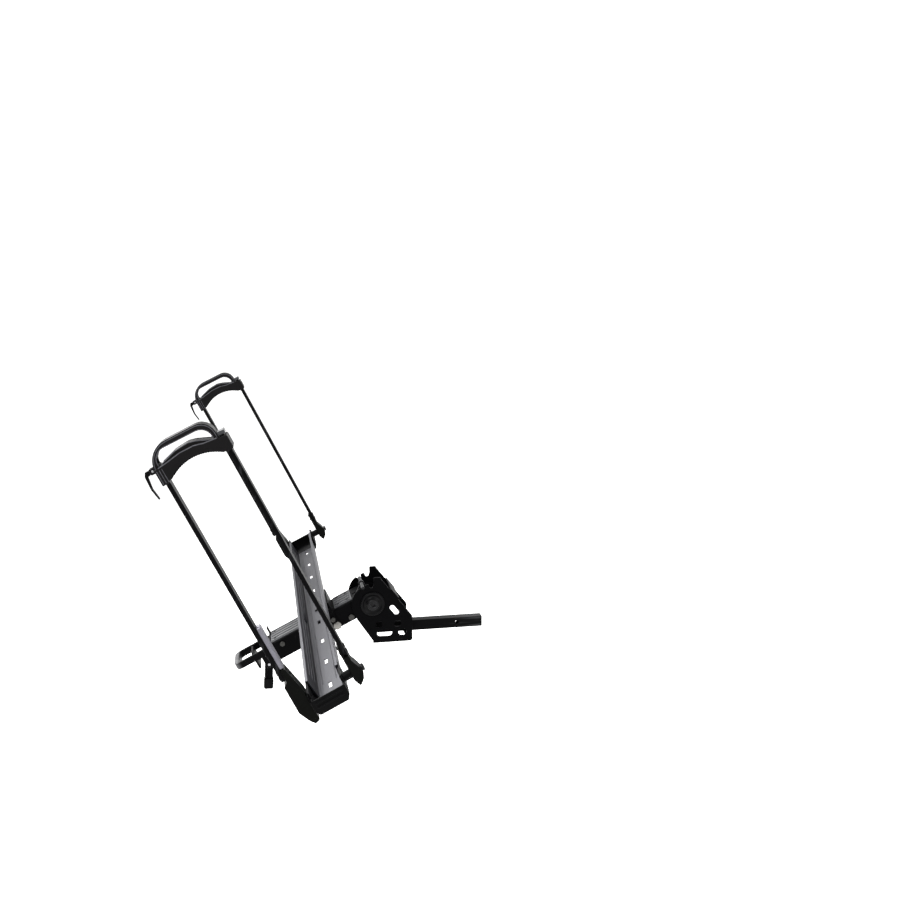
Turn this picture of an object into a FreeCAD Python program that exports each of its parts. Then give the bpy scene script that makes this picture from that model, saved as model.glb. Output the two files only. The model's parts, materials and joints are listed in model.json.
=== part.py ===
import FreeCAD
import Part
import Sketcher
import os
import re

# Hitch bike rack: one wheel tray across a tilting spine, with a folding wheel arm at each tray end.
# Row frame: +X towards the vehicle, +Y along the tray, +Z up, origin at the hitch pin hole.
# The rest position is the lowered one: the spine hangs below level by tilt_down, the arms stand up.

doc = FreeCAD.newDocument("hitch_bike_rack")
sheet = doc.addObject("Spreadsheet::Sheet", "sizes")
SIZES = {
    # Clearances and overlaps that many pieces share
    "running_gap": 0.06,  # radial running clearance of hinge pins
    "seat_gap": 0.25,  # clearance of pieces that slide or turn beside each other
    "press_gap": 0.05,  # clearance of pieces that are pressed or bolted into one another
    "cut_past": 1,  # cuts run this far past the faces that they open
    "join": 1,  # the features of one piece run this far into each other
    # Where the tilt hinge sits
    "tilt_down": 26.5,  # angle of the spine below level in the lowered position
    "pin_to_pivot": 260,  # hitch pin hole to tilt hinge, along the drawbar
    "pivot_rise": 90,  # tilt hinge above the drawbar's centre line
    # Drawbar
    "bar_side": 31.75,  # outside of the square drawbar
    "bar_wall": 4.8,  # wall of the drawbar
    "bar_corner": 3,  # outside corner radius of the drawbar
    "bar_tail": 75,  # drawbar past the pin hole
    "bar_inset": 2,  # drawbar's rear end ahead of the tilt hinge
    "pin_hole": 13.5,  # hole for the hitch pin, diameter
    "plug_lip": 3,  # lip of the drawbar's end plug
    "plug_depth": 18,  # end plug inside the tube
    # Hinge bracket
    "plate_thick": 6,  # thickness of the side plates
    "lobe_radius": 60,  # round lobe of a side plate about the hinge
    "plate_front": 117,  # front edge of a side plate ahead of the hinge
    "plate_foot": 120,  # bottom edge of a side plate below the hinge
    "plate_toe": 1,  # rear corner of a side plate's foot ahead of the hinge
    "plate_shoulder": 43,  # top of the front edge below the hinge
    "plate_heel": 6,  # step at the back of the bottom edge
    "plate_back": 46,  # back of the side plate behind the hinge
    "plate_back_drop": 44,  # back corner of the side plate below the hinge
    "tab_front": 25,  # front of the stop tab
    "tab_back": 4.5,  # back of the stop tab
    "tab_top": 78,  # top of the stop tab above the hinge
    "tab_slope": 4,  # sloping edge starts this far below the stop tab's top
    "plate_foot_round": 8,  # round at the front of a side plate's foot
    "plate_shoulder_round": 10,  # round at the top of a side plate's front edge
    "tab_round": 3,  # rounds of the stop tab
    "notch_radius": 53,  # latch bar centre from the hinge
    "notch_width": 11,  # bottom width of a latch notch
    "notch_mouth": 19,  # mouth width of a latch notch
    "notch_angle": 120,  # lowered notch from the forward direction
    "slot_wide": 15,  # width of the sloping slot in a side plate
    "slot_long": 35,  # length of the sloping slot
    "slot_ahead": 64,  # sloping slot ahead of the hinge
    "slot_drop": 23,  # sloping slot below the hinge
    "foot_slot_wide": 19,  # height of the two slots near the plate's foot
    "foot_slot_long": 45,  # length of the longer foot slot
    "foot_slot_short": 25,  # length of the shorter foot slot
    "foot_slot_ahead": 35,  # longer foot slot ahead of the hinge
    "foot_slot_drop": 92,  # both foot slots below the hinge
    "foot_slot_step": 53,  # between the two foot slots
    "window_rear": 18,  # rear window of a side plate ahead of the hinge
    "window_front": 74,  # front window of a side plate ahead of the hinge
    "window_drop": 65,  # windows below the hinge
    "window_long": 20,  # length of a window
    "window_high": 17,  # height of a window
    "plate_window_round": 4,  # rounds of the windows
    "far_window": 84,  # far plate's large window ahead of the hinge
    "far_window_drop": 63,  # far plate's large window below the hinge
    "far_window_long": 44,  # length of the far plate's large window
    "far_window_high": 30,  # height of the far plate's large window
    "web_thick": 6,  # thickness of the cross webs and floor
    "web_rise": 26,  # cross webs above the drawbar's centre line
    "web_inset": 1,  # rear web ahead of the drawbar's end
    "floor_rim": 12,  # floor left round its opening
    "front_web_inset": 3,  # front web behind the side plates' front edges
    "gusset_thick": 4,  # thickness of the sloping cross gusset
    "gusset_from": 46,  # start of the gusset along the sloping edge
    "gusset_long": 38,  # length of the gusset along the sloping edge
    "gusset_round": 1.5,  # rounded edges of the gusset
    # Tilt hinge
    "pivot_radius": 8,  # radius of the hinge bolt
    "cap_radius": 35,  # radius of the round hinge cap
    "cap_thick": 5,  # thickness of the round hinge cap
    "bolt_head_radius": 17,  # radius of the hinge bolt's round head
    "bolt_head_high": 9,  # height of the hinge bolt's head
    "bolt_tail": 4,  # hinge bolt past its nut
    "socket_radius": 7.5,  # tool socket in the hinge bolt's head
    "socket_depth": 6,  # depth of the tool socket
    "nut_flat": 24,  # across flats of the hinge nut
    "nut_high": 10,  # height of the hinge nut
    "bush_radius": 12,  # outer radius of the hinge bushes
    "bush_flange": 20,  # flange radius of the hinge bushes
    "bush_rim": 2.5,  # room for the bushes' rims between the spine and each side plate
    "sleeve_radius": 11,  # outer radius of the hinge sleeve
    # Spine
    "spine_wide": 109,  # outside width of the spine channel
    "spine_top": 36,  # spine's top face above the hinge line
    "spine_bottom": 19,  # spine's lower edge below the hinge line
    "spine_wall": 4,  # wall of the spine channel
    "spine_long": 310,  # spine's outer end behind the hinge
    "spine_bend": 5,  # outside bend radius of the spine channel
    "nose_radius": 30,  # rounded front end of the spine's side walls
    "cover_thick": 2.5,  # base thickness of the ribbed spine covers
    "cover_rib": 2,  # height of the cover ribs
    "cover_rib_wide": 6,  # width of a cover rib
    "cover_rib_edge": 8,  # middle of the outer ribs inside the cover's edge
    "cover_inset": 6.5,  # cover's edges inside the spine's sides
    "cover_margin": 4,  # cover ribs end short of the cover's ends
    "front_cover_from": 104,  # front cover's outer end behind the hinge
    "front_cover_to": 47,  # front cover's inner end behind the hinge
    "rear_cover_to": 198,  # rear cover's inner end behind the hinge
    "end_cap_thick": 4,  # moulded cap at the spine's outer end
    "end_cap_rise": 22,  # end cap's lugs above the spine's top
    "end_cap_bridge": 6,  # end cap's bridge above the spine's top
    "end_cap_lug": 20,  # width of each end cap lug
    "side_bolt_behind": 72,  # side bolt behind the hinge
    "side_bolt_drop": 8,  # side bolt below the hinge line
    "clamp_bolt_behind": 119,  # large cross bolt behind the hinge
    "clamp_bolt_drop": 9,  # large cross bolt below the hinge line
    "small_bolt_radius": 4,  # radius of the small bolts
    "small_head_flat": 13,  # across flats of the small bolt heads
    "small_head_high": 5,  # height of the small bolt heads
    "large_bolt_radius": 6,  # radius of the large cross bolts
    "large_head_flat": 21,  # across flats of the large bolt heads
    "large_head_high": 8,  # height of the large bolt heads
    "side_head_flat": 16,  # across flats of the side bolt heads
    "side_head_high": 6,  # height of the side bolt heads
    # Handle at the outer end
    "rail_thick": 10,  # width of a handle rail
    "rail_high": 20,  # height of a handle rail
    "rail_from": 255,  # inner end of the handle rails behind the hinge
    "rail_gap": 0.5,  # handle rails below the spine's top wall
    "rail_side_gap": 0.2,  # handle rails from the spine's side walls
    "handle_reach": 432,  # outer end of the handle behind the hinge
    "handle_bar": 15,  # thickness of the handle's outer cross part
    "handle_corner": 20,  # outside corner radius of the handle
    "handle_inner_corner": 8,  # inside corner radius of the handle
    "handle_bolt_behind": 282,  # handle bolts behind the hinge
    # Trigger, pull rod and latch
    "trigger_setback": 55,  # trigger paddle's outer face inside the handle's outer end
    "trigger_thick": 6,  # thickness of the trigger paddle
    "trigger_gap": 2.3,  # trigger paddle from each handle rail
    "trigger_low": -20,  # trigger's lower edge above the hinge line
    "trigger_high": 33,  # trigger's upper edge above the hinge line
    "trigger_foot_round": 6,  # lower corners of the trigger paddle
    "trigger_head_round": 14,  # upper corners of the trigger paddle
    "trigger_hub": 6,  # length of the hub behind the trigger paddle
    "latch_travel": 12,  # travel of the trigger, and of the latch bar
    "rod_radius": 4,  # radius of the pull rod
    "rod_rise": 3,  # pull rod above the hinge line
    "fork_thick": 4,  # thickness of each cheek of the rod's fork
    "fork_back": 17,  # fork's outer end behind the cam pin
    "fork_bridge": 5,  # solid bridge at the fork's outer end
    "fork_front": 15,  # fork's inner end behind the hinge
    "fork_low": 16,  # fork's lower edge below the hinge line
    "fork_high": 19,  # fork's upper edge above the hinge line
    "fork_round": 4,  # rounds at the fork's inner end
    "blade_thick": 6,  # thickness of the latch blade
    "blade_slot_ahead": 10,  # spine's blade slot ahead of the hinge
    "blade_slot_behind": 9,  # spine's blade slot behind the cam pin
    "blade_front": 5,  # latch blade's front edge ahead of the hinge
    "blade_step": 24,  # lower end of the blade's front edge above the hinge line
    "blade_throat_behind": 13,  # blade's throat behind the hinge
    "blade_throat_rise": 15,  # blade's throat above the hinge line
    "blade_toe": 8,  # blade's toe below the hinge line
    "blade_toe_long": 15,  # blade's toe ahead of the cam pin
    "blade_heel": 8,  # blade's rear edge behind the cam pin
    "blade_shoulder": 26,  # blade's shoulder above the hinge line
    "blade_neck": 12,  # rear of the blade's neck behind the hinge
    "blade_neck_top": 4,  # top of the blade's edges below the latch bar's centre
    "blade_round": 3,  # rounds of the blade's toe
    "cam_pin_radius": 3,  # cam pin on the latch blade
    "cam_pin_behind": 34,  # cam pin behind the hinge
    "cam_pin_drop": 2,  # cam pin below the hinge line
    "latch_bar_radius": 5,  # radius of the latch bar
    "latch_eye": 8.5,  # radius of the latch blade's eye
    "latch_bar_gap": 1,  # latch bar's ends inside the side plates
    "guide_thick": 8,  # thickness of each latch guide
    "guide_behind": 9,  # latch guides behind the cam pin
    "guide_front": 6,  # latch guides ahead of the hinge
    "guide_low": 20,  # latch guides' lower faces above the hinge line
    # Foot lever
    "foot_setback": 87,  # foot lever's pin inside the handle's outer end
    "foot_drop": 17,  # foot lever's pin below the hinge line
    "foot_pin_radius": 4,  # radius of the foot lever's pin
    "foot_ear": 6,  # thickness of the ears under the handle rails
    "foot_ear_half": 9,  # half length of the ears round the foot lever's pin
    "foot_wide": 24,  # width of the foot lever seen from the side
    "foot_thick": 12,  # thickness of the foot lever
    "foot_reach": 90,  # foot lever's end below its pin
    "foot_lean": 29,  # foot lever's lean from square to the spine
    "foot_round": 4,  # rounds at the foot lever's end
    "foot_hub_side": 6,  # foot lever's hub beyond each side of its bar
    "prong_thick": 6,  # thickness of the foot lever's prongs
    "prong_gap": 1.5,  # between the pull rod and each prong
    "foot_pad_long": 30,  # length of the rubber foot pad
    "foot_pad_wall": 1.6,  # rubber round the foot lever's end
    "foot_pad_round": 5,  # rounds of the foot pad's end
    "collar_radius": 9,  # collar on the pull rod
    "collar_long": 6,  # length of the collar
    "spring_wire": 1.6,  # wire of the foot lever's spring
    "spring_coil": 5.1,  # mean radius of the spring
    "spring_pitch": 2.16,  # rise of the spring in one turn
    "spring_turns": 5,  # turns of the spring
    # Tray
    "arm_span": 1360,  # between the two arm axles, along the tray
    "tray_behind": 150,  # tray's centre line behind the hinge
    "tray_rise": 55,  # tray's underside above the hinge line
    "tray_high": 55,  # height of the tray's walls
    "tray_wall": 3,  # wall of the tray
    "tray_floor_half": 33,  # half width of the tray's floor
    "tray_top_half": 38,  # half width over the tray's walls at the top
    "tray_lip": 4,  # lip along the top of the tray's walls
    "tray_round": 5,  # outer rounds of the tray's floor
    "tray_inner_round": 4,  # inner rounds of the tray's floor
    "tray_short": 36,  # tray's end inboard of the arm axle
    "strap_slot_long": 30,  # drain and strap slots in the tray's floor
    "strap_slot_wide": 8,  # width of the tray's slots
    "strap_slot_pitch": 150,  # spacing of the tray's slots
    "strap_slot_first": 150,  # first slot from the tray's middle
    # Saddle under the tray
    "saddle_half": 40,  # half length of the saddle along the spine
    "saddle_wall": 6,  # wall of the saddle
    "saddle_ledge": 15.5,  # saddle beyond each side of the spine
    "saddle_skirt": 34,  # side skirts of the saddle below the spine's top
    "saddle_skirt_thick": 4,  # thickness of the side skirts
    "saddle_cheek": 14,  # cheeks of the saddle beside the tray
    "saddle_cheek_gap": 2.5,  # cheeks beside the tray's floor
    "saddle_bolt_apart": 56,  # between the two side bolts of the saddle
    "saddle_bolt_drop": 22,  # saddle's side bolts below the spine's top
    "tray_bolt_inset": 9.5,  # bolts in the tray's floor inside the spine's sides
    "tray_head_high": 3.5,  # height of the low heads of the tray bolts
    "tray_nut_high": 6,  # height of the tray bolts' nuts
    "bolt_past": 2,  # tray bolts past their nuts
    "clamp_room": 1,  # saddle's clearance round the large cross bolt's head
    # Tray ends
    "end_half": 43,  # half width of a moulded tray end
    "end_in": 62,  # tray end inboard of the axle
    "end_out": 42,  # tray end outboard of the axle
    "end_low": 37,  # tray end below the axle
    "end_top": 16,  # tray end's side walls above the axle
    "end_lip": 1,  # tray end's outer wall above the axle
    "end_wall": 4.5,  # wall of the tray end
    "end_ridge": 3,  # raised ridges on the tray end
    "end_chamfer": 8,  # slanted lower corners of the tray end, across
    "end_chamfer_high": 12,  # slanted lower corners of the tray end, up
    "end_hollow_slant": 7,  # slanted lower corners of the bucket's inside, across
    "end_hollow_high": 14,  # slanted lower corners of the bucket's inside, up
    "end_round": 4,  # rounds of the tray end's lower corners
    "end_brim_round": 1.5,  # rounds of the tray end's brim
    "end_dip": 18,  # length of the dip in the bucket's outer wall
    "ridge_low": 20,  # lower ridge below the axle
    "ridge_pitch": 11,  # between the two ridges
    "ridge_high": 3,  # height of a ridge
    "ridge_inset": 10,  # ridges end short of the tray end's sides
    "tray_end_overlap": 2,  # bucket's hollow reaches this far past the tray's end
    "root_gap": 0.3,  # between an arm root and the face it turns beside
    "boss_radius": 11,  # bosses that carry the arm axles
    "axle_rise": 89,  # arm axles above the hinge line
    "axle_radius": 5,  # radius of the arm axle bolts
    "axle_head": 9,  # radius of the arm axle bolt heads
    "axle_head_high": 5,  # height of the arm axle bolt heads
    # Wheel arms
    "arm_bar_half": 73.5,  # centre of each arm bar from the tray's centre line
    "arm_bar_thick": 10,  # thickness of an arm bar
    "arm_bar_wide": 32,  # width of an arm bar
    "arm_bar_end": 622,  # top of the arm bars above the axle
    "outer_bar_start": 62,  # lower end of the outer bar above the axle
    "inner_bar_start": 46,  # lower end of the inner bar above the axle
    "outer_root_in": 45,  # inner face of the outer root
    "outer_root_out": 79,  # outer face of the outer root
    "outer_root_top": 92,  # top of the outer root above the axle
    "outer_root_low": 59,  # rounded toe of the outer root below the axle
    "inner_root_in": 64,  # inner face of the inner root
    "inner_root_out": 91,  # outermost point of the inner root
    "inner_root_top": 74,  # top of the inner root above the axle
    "inner_root_low": 32,  # toe of the inner root below the axle
    "root_wide": 38,  # width of the arm roots along the tray
    "cast_round": 5,  # rounds of the cast roots
    "cast_round_big": 10,  # large rounds of the outer root
    "cast_round_small": 3,  # small rounds of the inner root
    "bar_seat": 1,  # step of a root under its bar's lower end
    "outer_root_shoulder": 10,  # outer root reaches full width below its bar
    "outer_root_waist": 18,  # outer root narrows from here below the axle
    "outer_root_taper": 12,  # how much the outer root narrows
    "outer_root_toe_high": 13,  # start of the outer root's toe above its end
    "outer_root_toe": 13,  # width of the outer root's toe
    "outer_root_heel": 4,  # slant of the outer root's toe
    "outer_root_flare": 22,  # outer root reaches its full depth above the axle
    "outer_root_neck": 10,  # depth of the outer root's top behind its bar
    "inner_root_knee": 13,  # inner root's straight face ends below the axle
    "inner_root_shin": 24,  # middle of the inner root's slanted face below the axle
    "inner_root_shin_out": 4,  # middle of the slanted face outwards
    "inner_root_toe_out": 7,  # inner root's toe outwards
    "inner_root_heel": 19,  # inner root's heel below the axle
    "inner_root_heel_in": 6,  # inner root's heel inwards of its outermost point
    "inner_root_elbow": 5,  # inner root's outermost point below the axle
    "inner_root_brow": 12,  # inner root's brow above the axle
    "inner_root_brow_in": 4,  # inner root's brow inwards of its outermost point
    "inner_root_neck": 32,  # inner root's neck above the axle
    "inner_root_neck_out": 1,  # inner root's neck outside its bar
    "bar_foot_round": 10,  # rounds at the bars' lower ends
    "bar_top_round": 4,  # rounds at the bars' tops
    "rivet_first": 8,  # lower arm bolt above its bar's lower end
    "rivet_pitch": 14,  # between the two arm bolts of a bar
    "rivet_radius": 4,  # radius of the arm bolts' shanks
    "rivet_head": 7,  # radius of the arm bolts' heads
    "rivet_head_high": 3,  # height of the arm bolts' heads
    "splint_thick": 10,  # stiffener beside the outer bar
    "splint_long": 112,  # length of the stiffener
    "splint_inset": 2,  # stiffener narrower than its bar, each side
    "splint_round": 8,  # rounds at the stiffener's top
    "stop_high": 8,  # height of the stop on the inner bar's end
    "stop_seat": 4,  # stop over the bar's end
    "stop_in": 2,  # stop's overhang inside the bar
    "stop_out": 4,  # stop's overhang outside the bar
    "stop_side": 2,  # stop's overhang beside the bar
    # Hooks
    "hook_at": 600,  # hook's middle above the axle
    "hook_half": 84,  # half width of a hook over its ends
    "hook_deep": 56,  # depth of a hook along the tray
    "hoop_deep": 40,  # depth of the grab hoop along the tray
    "hoop_top": 62,  # top of the hoop above the hook's middle
    "hoop_band": 13,  # thickness of the hoop
    "hoop_right": 66,  # hoop's right side from the middle
    "hoop_round_left": 50,  # outside round of the hoop above the lever
    "hoop_round_right": 35,  # outside round of the hoop's other side
    "hoop_inner_left": 20,  # inside rounds of the hoop above the lever
    "hoop_inner_right": 26,  # inside round of the hoop's other side
    "hoop_leg": 11,  # width of the hoop's leg
    "hook_skirt": 2,  # left column below the cradle's end
    "hook_round": 4,  # rounds of the hook's right column
    "column_top": 14,  # top of the right column above the hook's middle
    "cradle_end": 20,  # cradle's ends above and below the hook's middle
    "cradle_crown": 35,  # crown of the cradle above the hook's middle
    "crown_left": 26,  # left end of the cradle's flat crown
    "crown_middle": 4,  # highest point of the crown, right of the middle
    "crown_right": 20,  # right end of the crown
    "crown_end": 52,  # foot of the crown's right slope
    "crown_slope": 2.5,  # fall of the crown to its left end
    "crown_fall": 4,  # fall of the crown to its right end
    "crown_round": 14,  # rounds of the crown
    "window_left": 71,  # hoop's window left of the middle
    "window_slant": 16,  # slanted upper left corner of the hoop's window
    "window_round": 4,  # round of the hoop's window at the cradle
    "ledge_foot": 15,  # ledges before and behind the crown, at the hook's sides
    "ledge_left": 55,  # left bend of the ledges from the middle
    "ledge_left_rise": 3.5,  # left bend of the ledges above their foot
    "ledge_crown": 25,  # crown of the ledges above the hook's middle
    "ledge_crown_left": 20,  # left end of the ledges' crown
    "ledge_crown_right": 12,  # right end of the ledges' crown
    "ledge_right": 34,  # right bend of the ledges from the middle
    "ledge_right_rise": 4.5,  # right bend of the ledges above their foot
    "ledge_round": 40,  # rounds of the ledges' bends
    "cradle_arch": 3,  # top of the tyre arch above the hook's middle
    "tyre_radius": 100,  # radius of the tyre arch
    "column_thick": 20,  # end columns that slide on the bars
    "pad_thick": 3,  # rubber liner of the tyre arch
    "liner_inset": 4,  # liner short of the hook's faces
    "liner_end": 3,  # liner's ends above the cradle's ends
    "lever_reach": 112,  # release lever's blade from the hook's middle
    "lever_drop": 46,  # release lever's tip below the hook's middle
    "lever_pin_out": 90,  # release lever's pin from the hook's middle
    "lever_pin_rise": 14,  # release lever's pin above the hook's middle
    "lever_pin_radius": 2.5,  # radius of the release lever's pin
    "lever_wide": 10,  # width of the release lever
    "lever_ear": 4.5,  # thickness of the ears that hold the pin
    "ear_nose": 6,  # ears beyond the lever's pin
    "ear_half_high": 7,  # half height of the ears
    "pawl_window_low": 6,  # lever's window below its pin
    "pawl_window_high": 12,  # lever's window above its pin
    "pawl_gap": 1.2,  # lever's nose from the outer bar
    "lever_nose": 4,  # lever's nose above its pin
    "lever_brow": 5,  # lever's back above its pin
    "lever_brow_in": 6,  # lever's back inside its blade
    "lever_bend": 4,  # lever's bend below its pin
    "lever_belly": 20,  # widest place of the blade below the hook's middle
    "lever_belly_out": 1,  # blade's belly outside its line
    "lever_tip_out": 3,  # blade's tip inside its line
    "lever_tip_wide": 3,  # width of the blade's tip
    "lever_throat": 7,  # inside of the lever's bend
    "lever_hub_low": 5,  # lever round its pin, below
    "lever_back_round": 3,  # round of the lever's back
    "lever_blade_round": 20,  # curve of the blade's outer face
    "lever_blade_inner": 16,  # curve of the blade's inner face
}
for line, (name, value) in enumerate(SIZES.items(), 1):
    sheet.set("A%d" % line, name)
    sheet.set("B%d" % line, str(value))
    sheet.setAlias("B%d" % line, name)
doc.recompute()
alias = re.compile(r"\b(" + "|".join(SIZES) + r")\b")


def ex(text):
    """Write a plain sum of named sizes as an expression on the sheet."""
    return alias.sub(r"sizes.\1", str(text))


def frame(u="0", w="0", v="0", lean="tilt_down"):
    """A place measured along the spine, along the tray and square to the spine, from the hinge."""
    hinge = "placement(vector(-pin_to_pivot; 0; pivot_rise); rotation(vector(0; 1; 0); -(%s)))" % lean
    offset = "placement(vector(%s; %s; %s); rotation(vector(0; 0; 1); 0))" % (u, w, v)
    return ex(hinge + " * " + offset)


LEVEL = frame(lean="0")
TILTED = frame()
PLANES = {"XZ": "xz", "YZ": "yz", "XY": "xy"}
TURNS = {
    "x": FreeCAD.Rotation(FreeCAD.Vector(0, 1, 0), 90),
    "y": FreeCAD.Rotation(FreeCAD.Vector(1, 0, 0), -90),
    "z": FreeCAD.Rotation(),
}


def body(label, place):
    """Start one sub-part; its frame follows the sheet."""
    piece = doc.addObject("PartDesign::Body", label)
    piece.Label = label
    piece.AllowCompound = True
    piece.setExpression("Placement", place)
    return piece


def feature(piece, kind, cut, name):
    """Add a primitive to a body, either as material or as a cut."""
    prefix = "Subtractive" if cut else "Additive"
    return piece.newObject("PartDesign::" + prefix + kind, name)


def box(piece, name, x, y, z, cut=False):
    """A block between two places on each axis."""
    block = feature(piece, "Box", cut, name)
    for field, (low, high) in zip(("Length", "Width", "Height"), (x, y, z)):
        block.setExpression(field, ex("(%s) - (%s)" % (high, low)))
    for field, (low, high) in zip("xyz", (x, y, z)):
        block.setExpression("Placement.Base." + field, ex(low))
    return block


def rod(piece, name, axis, at, radius, length, cut=False):
    """A round bar or hole that starts at a place and runs along an axis."""
    bar = feature(piece, "Cylinder", cut, name)
    bar.Placement = FreeCAD.Placement(FreeCAD.Vector(), TURNS[axis])
    bar.setExpression("Radius", ex(radius))
    bar.setExpression("Height", ex(length))
    for field, value in zip("xyz", at):
        bar.setExpression("Placement.Base." + field, ex(value))
    return bar


def outline(piece, name, plane, points, offset):
    """A closed sketch of straight lines whose corners follow the sheet."""
    sketch = piece.newObject("Sketcher::SketchObject", name + "_outline")
    role = plane + "_Plane"
    support = [item for item in piece.Origin.OriginFeatures if item.Role == role][0]
    sketch.AttachmentSupport = [(support, "")]
    sketch.MapMode = "FlatFace"
    sketch.setExpression("AttachmentOffset.Base.z", ex(offset))
    count = len(points)
    first = [FreeCAD.Vector(sheet_value(x), sheet_value(y), 0) for x, y in points]
    for index in range(count):
        sketch.addGeometry(Part.LineSegment(first[index], first[(index + 1) % count]), False)
    for index in range(count):
        sketch.addConstraint(Sketcher.Constraint("Coincident", index, 2, (index + 1) % count, 1))
    for index, (x, y) in enumerate(points):
        for kind, text, value in (("DistanceX", x, first[index].x), ("DistanceY", y, first[index].y)):
            number = sketch.addConstraint(Sketcher.Constraint(kind, -1, 1, index, 1, value))
            sketch.setExpression("Constraints[%d]" % number, ex(text))
    return sketch


def sheet_value(text):
    """The value of a sum of named sizes, to start a sketch near its answer."""
    return float(sheet.evalExpression(ex(text).replace("sizes.", "")))


def pad(piece, name, plane, points, low, high, cut=False, rounds=None):
    """Extrude an outline between two places along the plane's normal, with rounded corners."""
    offset = "-(%s)" % high if plane == "XZ" else low
    sketch = outline(piece, name, plane, points, offset)
    solid = piece.newObject("PartDesign::Pocket" if cut else "PartDesign::Pad", name)
    solid.Profile = sketch
    solid.Reversed = cut
    solid.setExpression("Length", ex("(%s) - (%s)" % (high, low)))
    doc.recompute()
    for corner, radius in (rounds or {}).items():
        solid = round_corner(piece, name, plane, sketch, solid, corner, radius)
    return solid


def round_corner(piece, name, plane, sketch, solid, corner, radius):
    """Round the straight edge that stands on one corner of an outline."""
    at = sketch.Geometry[corner].StartPoint
    first, second = PLANES[plane]
    picked = []
    for number, edge in enumerate(solid.Shape.Edges):
        ends = [(getattr(point.Point, first), getattr(point.Point, second)) for point in edge.Vertexes]
        off = [abs(a - at.x) + abs(b - at.y) for a, b in ends]
        if len(ends) == 2 and max(off) < 0.001:
            picked.append("Edge%d" % (number + 1))
    fillet = piece.newObject("PartDesign::Fillet", "%s_corner_%d" % (name, corner))
    fillet.Base = (solid, picked)
    fillet.setExpression("Radius", ex(radius))
    doc.recompute()
    return fillet


def hexagon(piece, name, at, flats, low, high):
    """A hexagon head or nut that stands along the hinge axis."""
    corners = []
    for index in range(6):
        angle = 60 * index
        x = "%s + (%s) / sqrt(3) * cos(%d)" % (at[0], flats, angle)
        z = "%s + (%s) / sqrt(3) * sin(%d)" % (at[1], flats, angle)
        corners.append((x, z))
    return pad(piece, name, "XZ", corners, low, high)


def slot(piece, name, at, long, wide, low, high, turn="0"):
    """A through slot with round ends, turned in the plane of a side plate."""
    half = "((%s) - (%s)) / 2" % (long, wide)
    block = feature(piece, "Box", True, name)
    block.setExpression("Length", ex("2 * " + half))
    block.setExpression("Width", ex("(%s) - (%s)" % (high, low)))
    block.setExpression("Height", ex(wide))
    corner_x = "%s - %s * cos(%s) + (%s) / 2 * sin(%s)" % (at[0], half, turn, wide, turn)
    corner_z = "%s - %s * sin(%s) - (%s) / 2 * cos(%s)" % (at[1], half, turn, wide, turn)
    block.setExpression("Placement", ex("placement(vector(%s; %s; %s); rotation(vector(0; 1; 0); -(%s)))"
                                        % (corner_x, low, corner_z, turn)))
    for number, side in enumerate(("-", "+")):
        x = "%s %s %s * cos(%s)" % (at[0], side, half, turn)
        z = "%s %s %s * sin(%s)" % (at[1], side, half, turn)
        rod(piece, "%s_end_%d" % (name, number), "y", (x, low, z), "(%s) / 2" % wide,
            "(%s) - (%s)" % (high, low), cut=True)


# Drawbar: a square steel tube that slides into the vehicle's receiver, drilled across for the pin.
drawbar = body("drawbar", frame(u="0", w="0", v="-pivot_rise", lean="0"))
half_bar = "bar_side / 2"
square = [("-bar_side / 2", "-bar_side / 2"), (half_bar, "-bar_side / 2"),
          (half_bar, half_bar), ("-bar_side / 2", half_bar)]
pad(drawbar, "drawbar_tube", "YZ", square, "bar_inset", "pin_to_pivot + bar_tail",
    rounds={corner: "bar_corner" for corner in range(4)})
inner = "bar_side / 2 - bar_wall"
box(drawbar, "drawbar_inside", ("bar_inset - cut_past", "pin_to_pivot + bar_tail + cut_past"),
    ("-(%s)" % inner, inner), ("-(%s)" % inner, inner), cut=True)
rod(drawbar, "drawbar_pin_hole", "y", ("pin_to_pivot", "-bar_side", "0"), "pin_hole / 2",
    "2 * bar_side", cut=True)

# End plug: a moulded plug in the drawbar's front end.
plug = body("drawbar_plug", frame(u="pin_to_pivot + bar_tail", w="0", v="-pivot_rise", lean="0"))
tight = "bar_side / 2 - bar_wall - press_gap"
box(plug, "plug_core", ("-plug_depth", "0"), ("-(%s)" % tight, tight), ("-(%s)" % tight, tight))
box(plug, "plug_face", ("0", "plug_lip"), ("-bar_side / 2", half_bar), ("-bar_side / 2", half_bar))

# Side plates: flame-cut steel, alike on both sides of the spine.
SLOPE = "atan((tab_top - tab_slope + plate_shoulder) / (plate_front - tab_front))"


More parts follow.
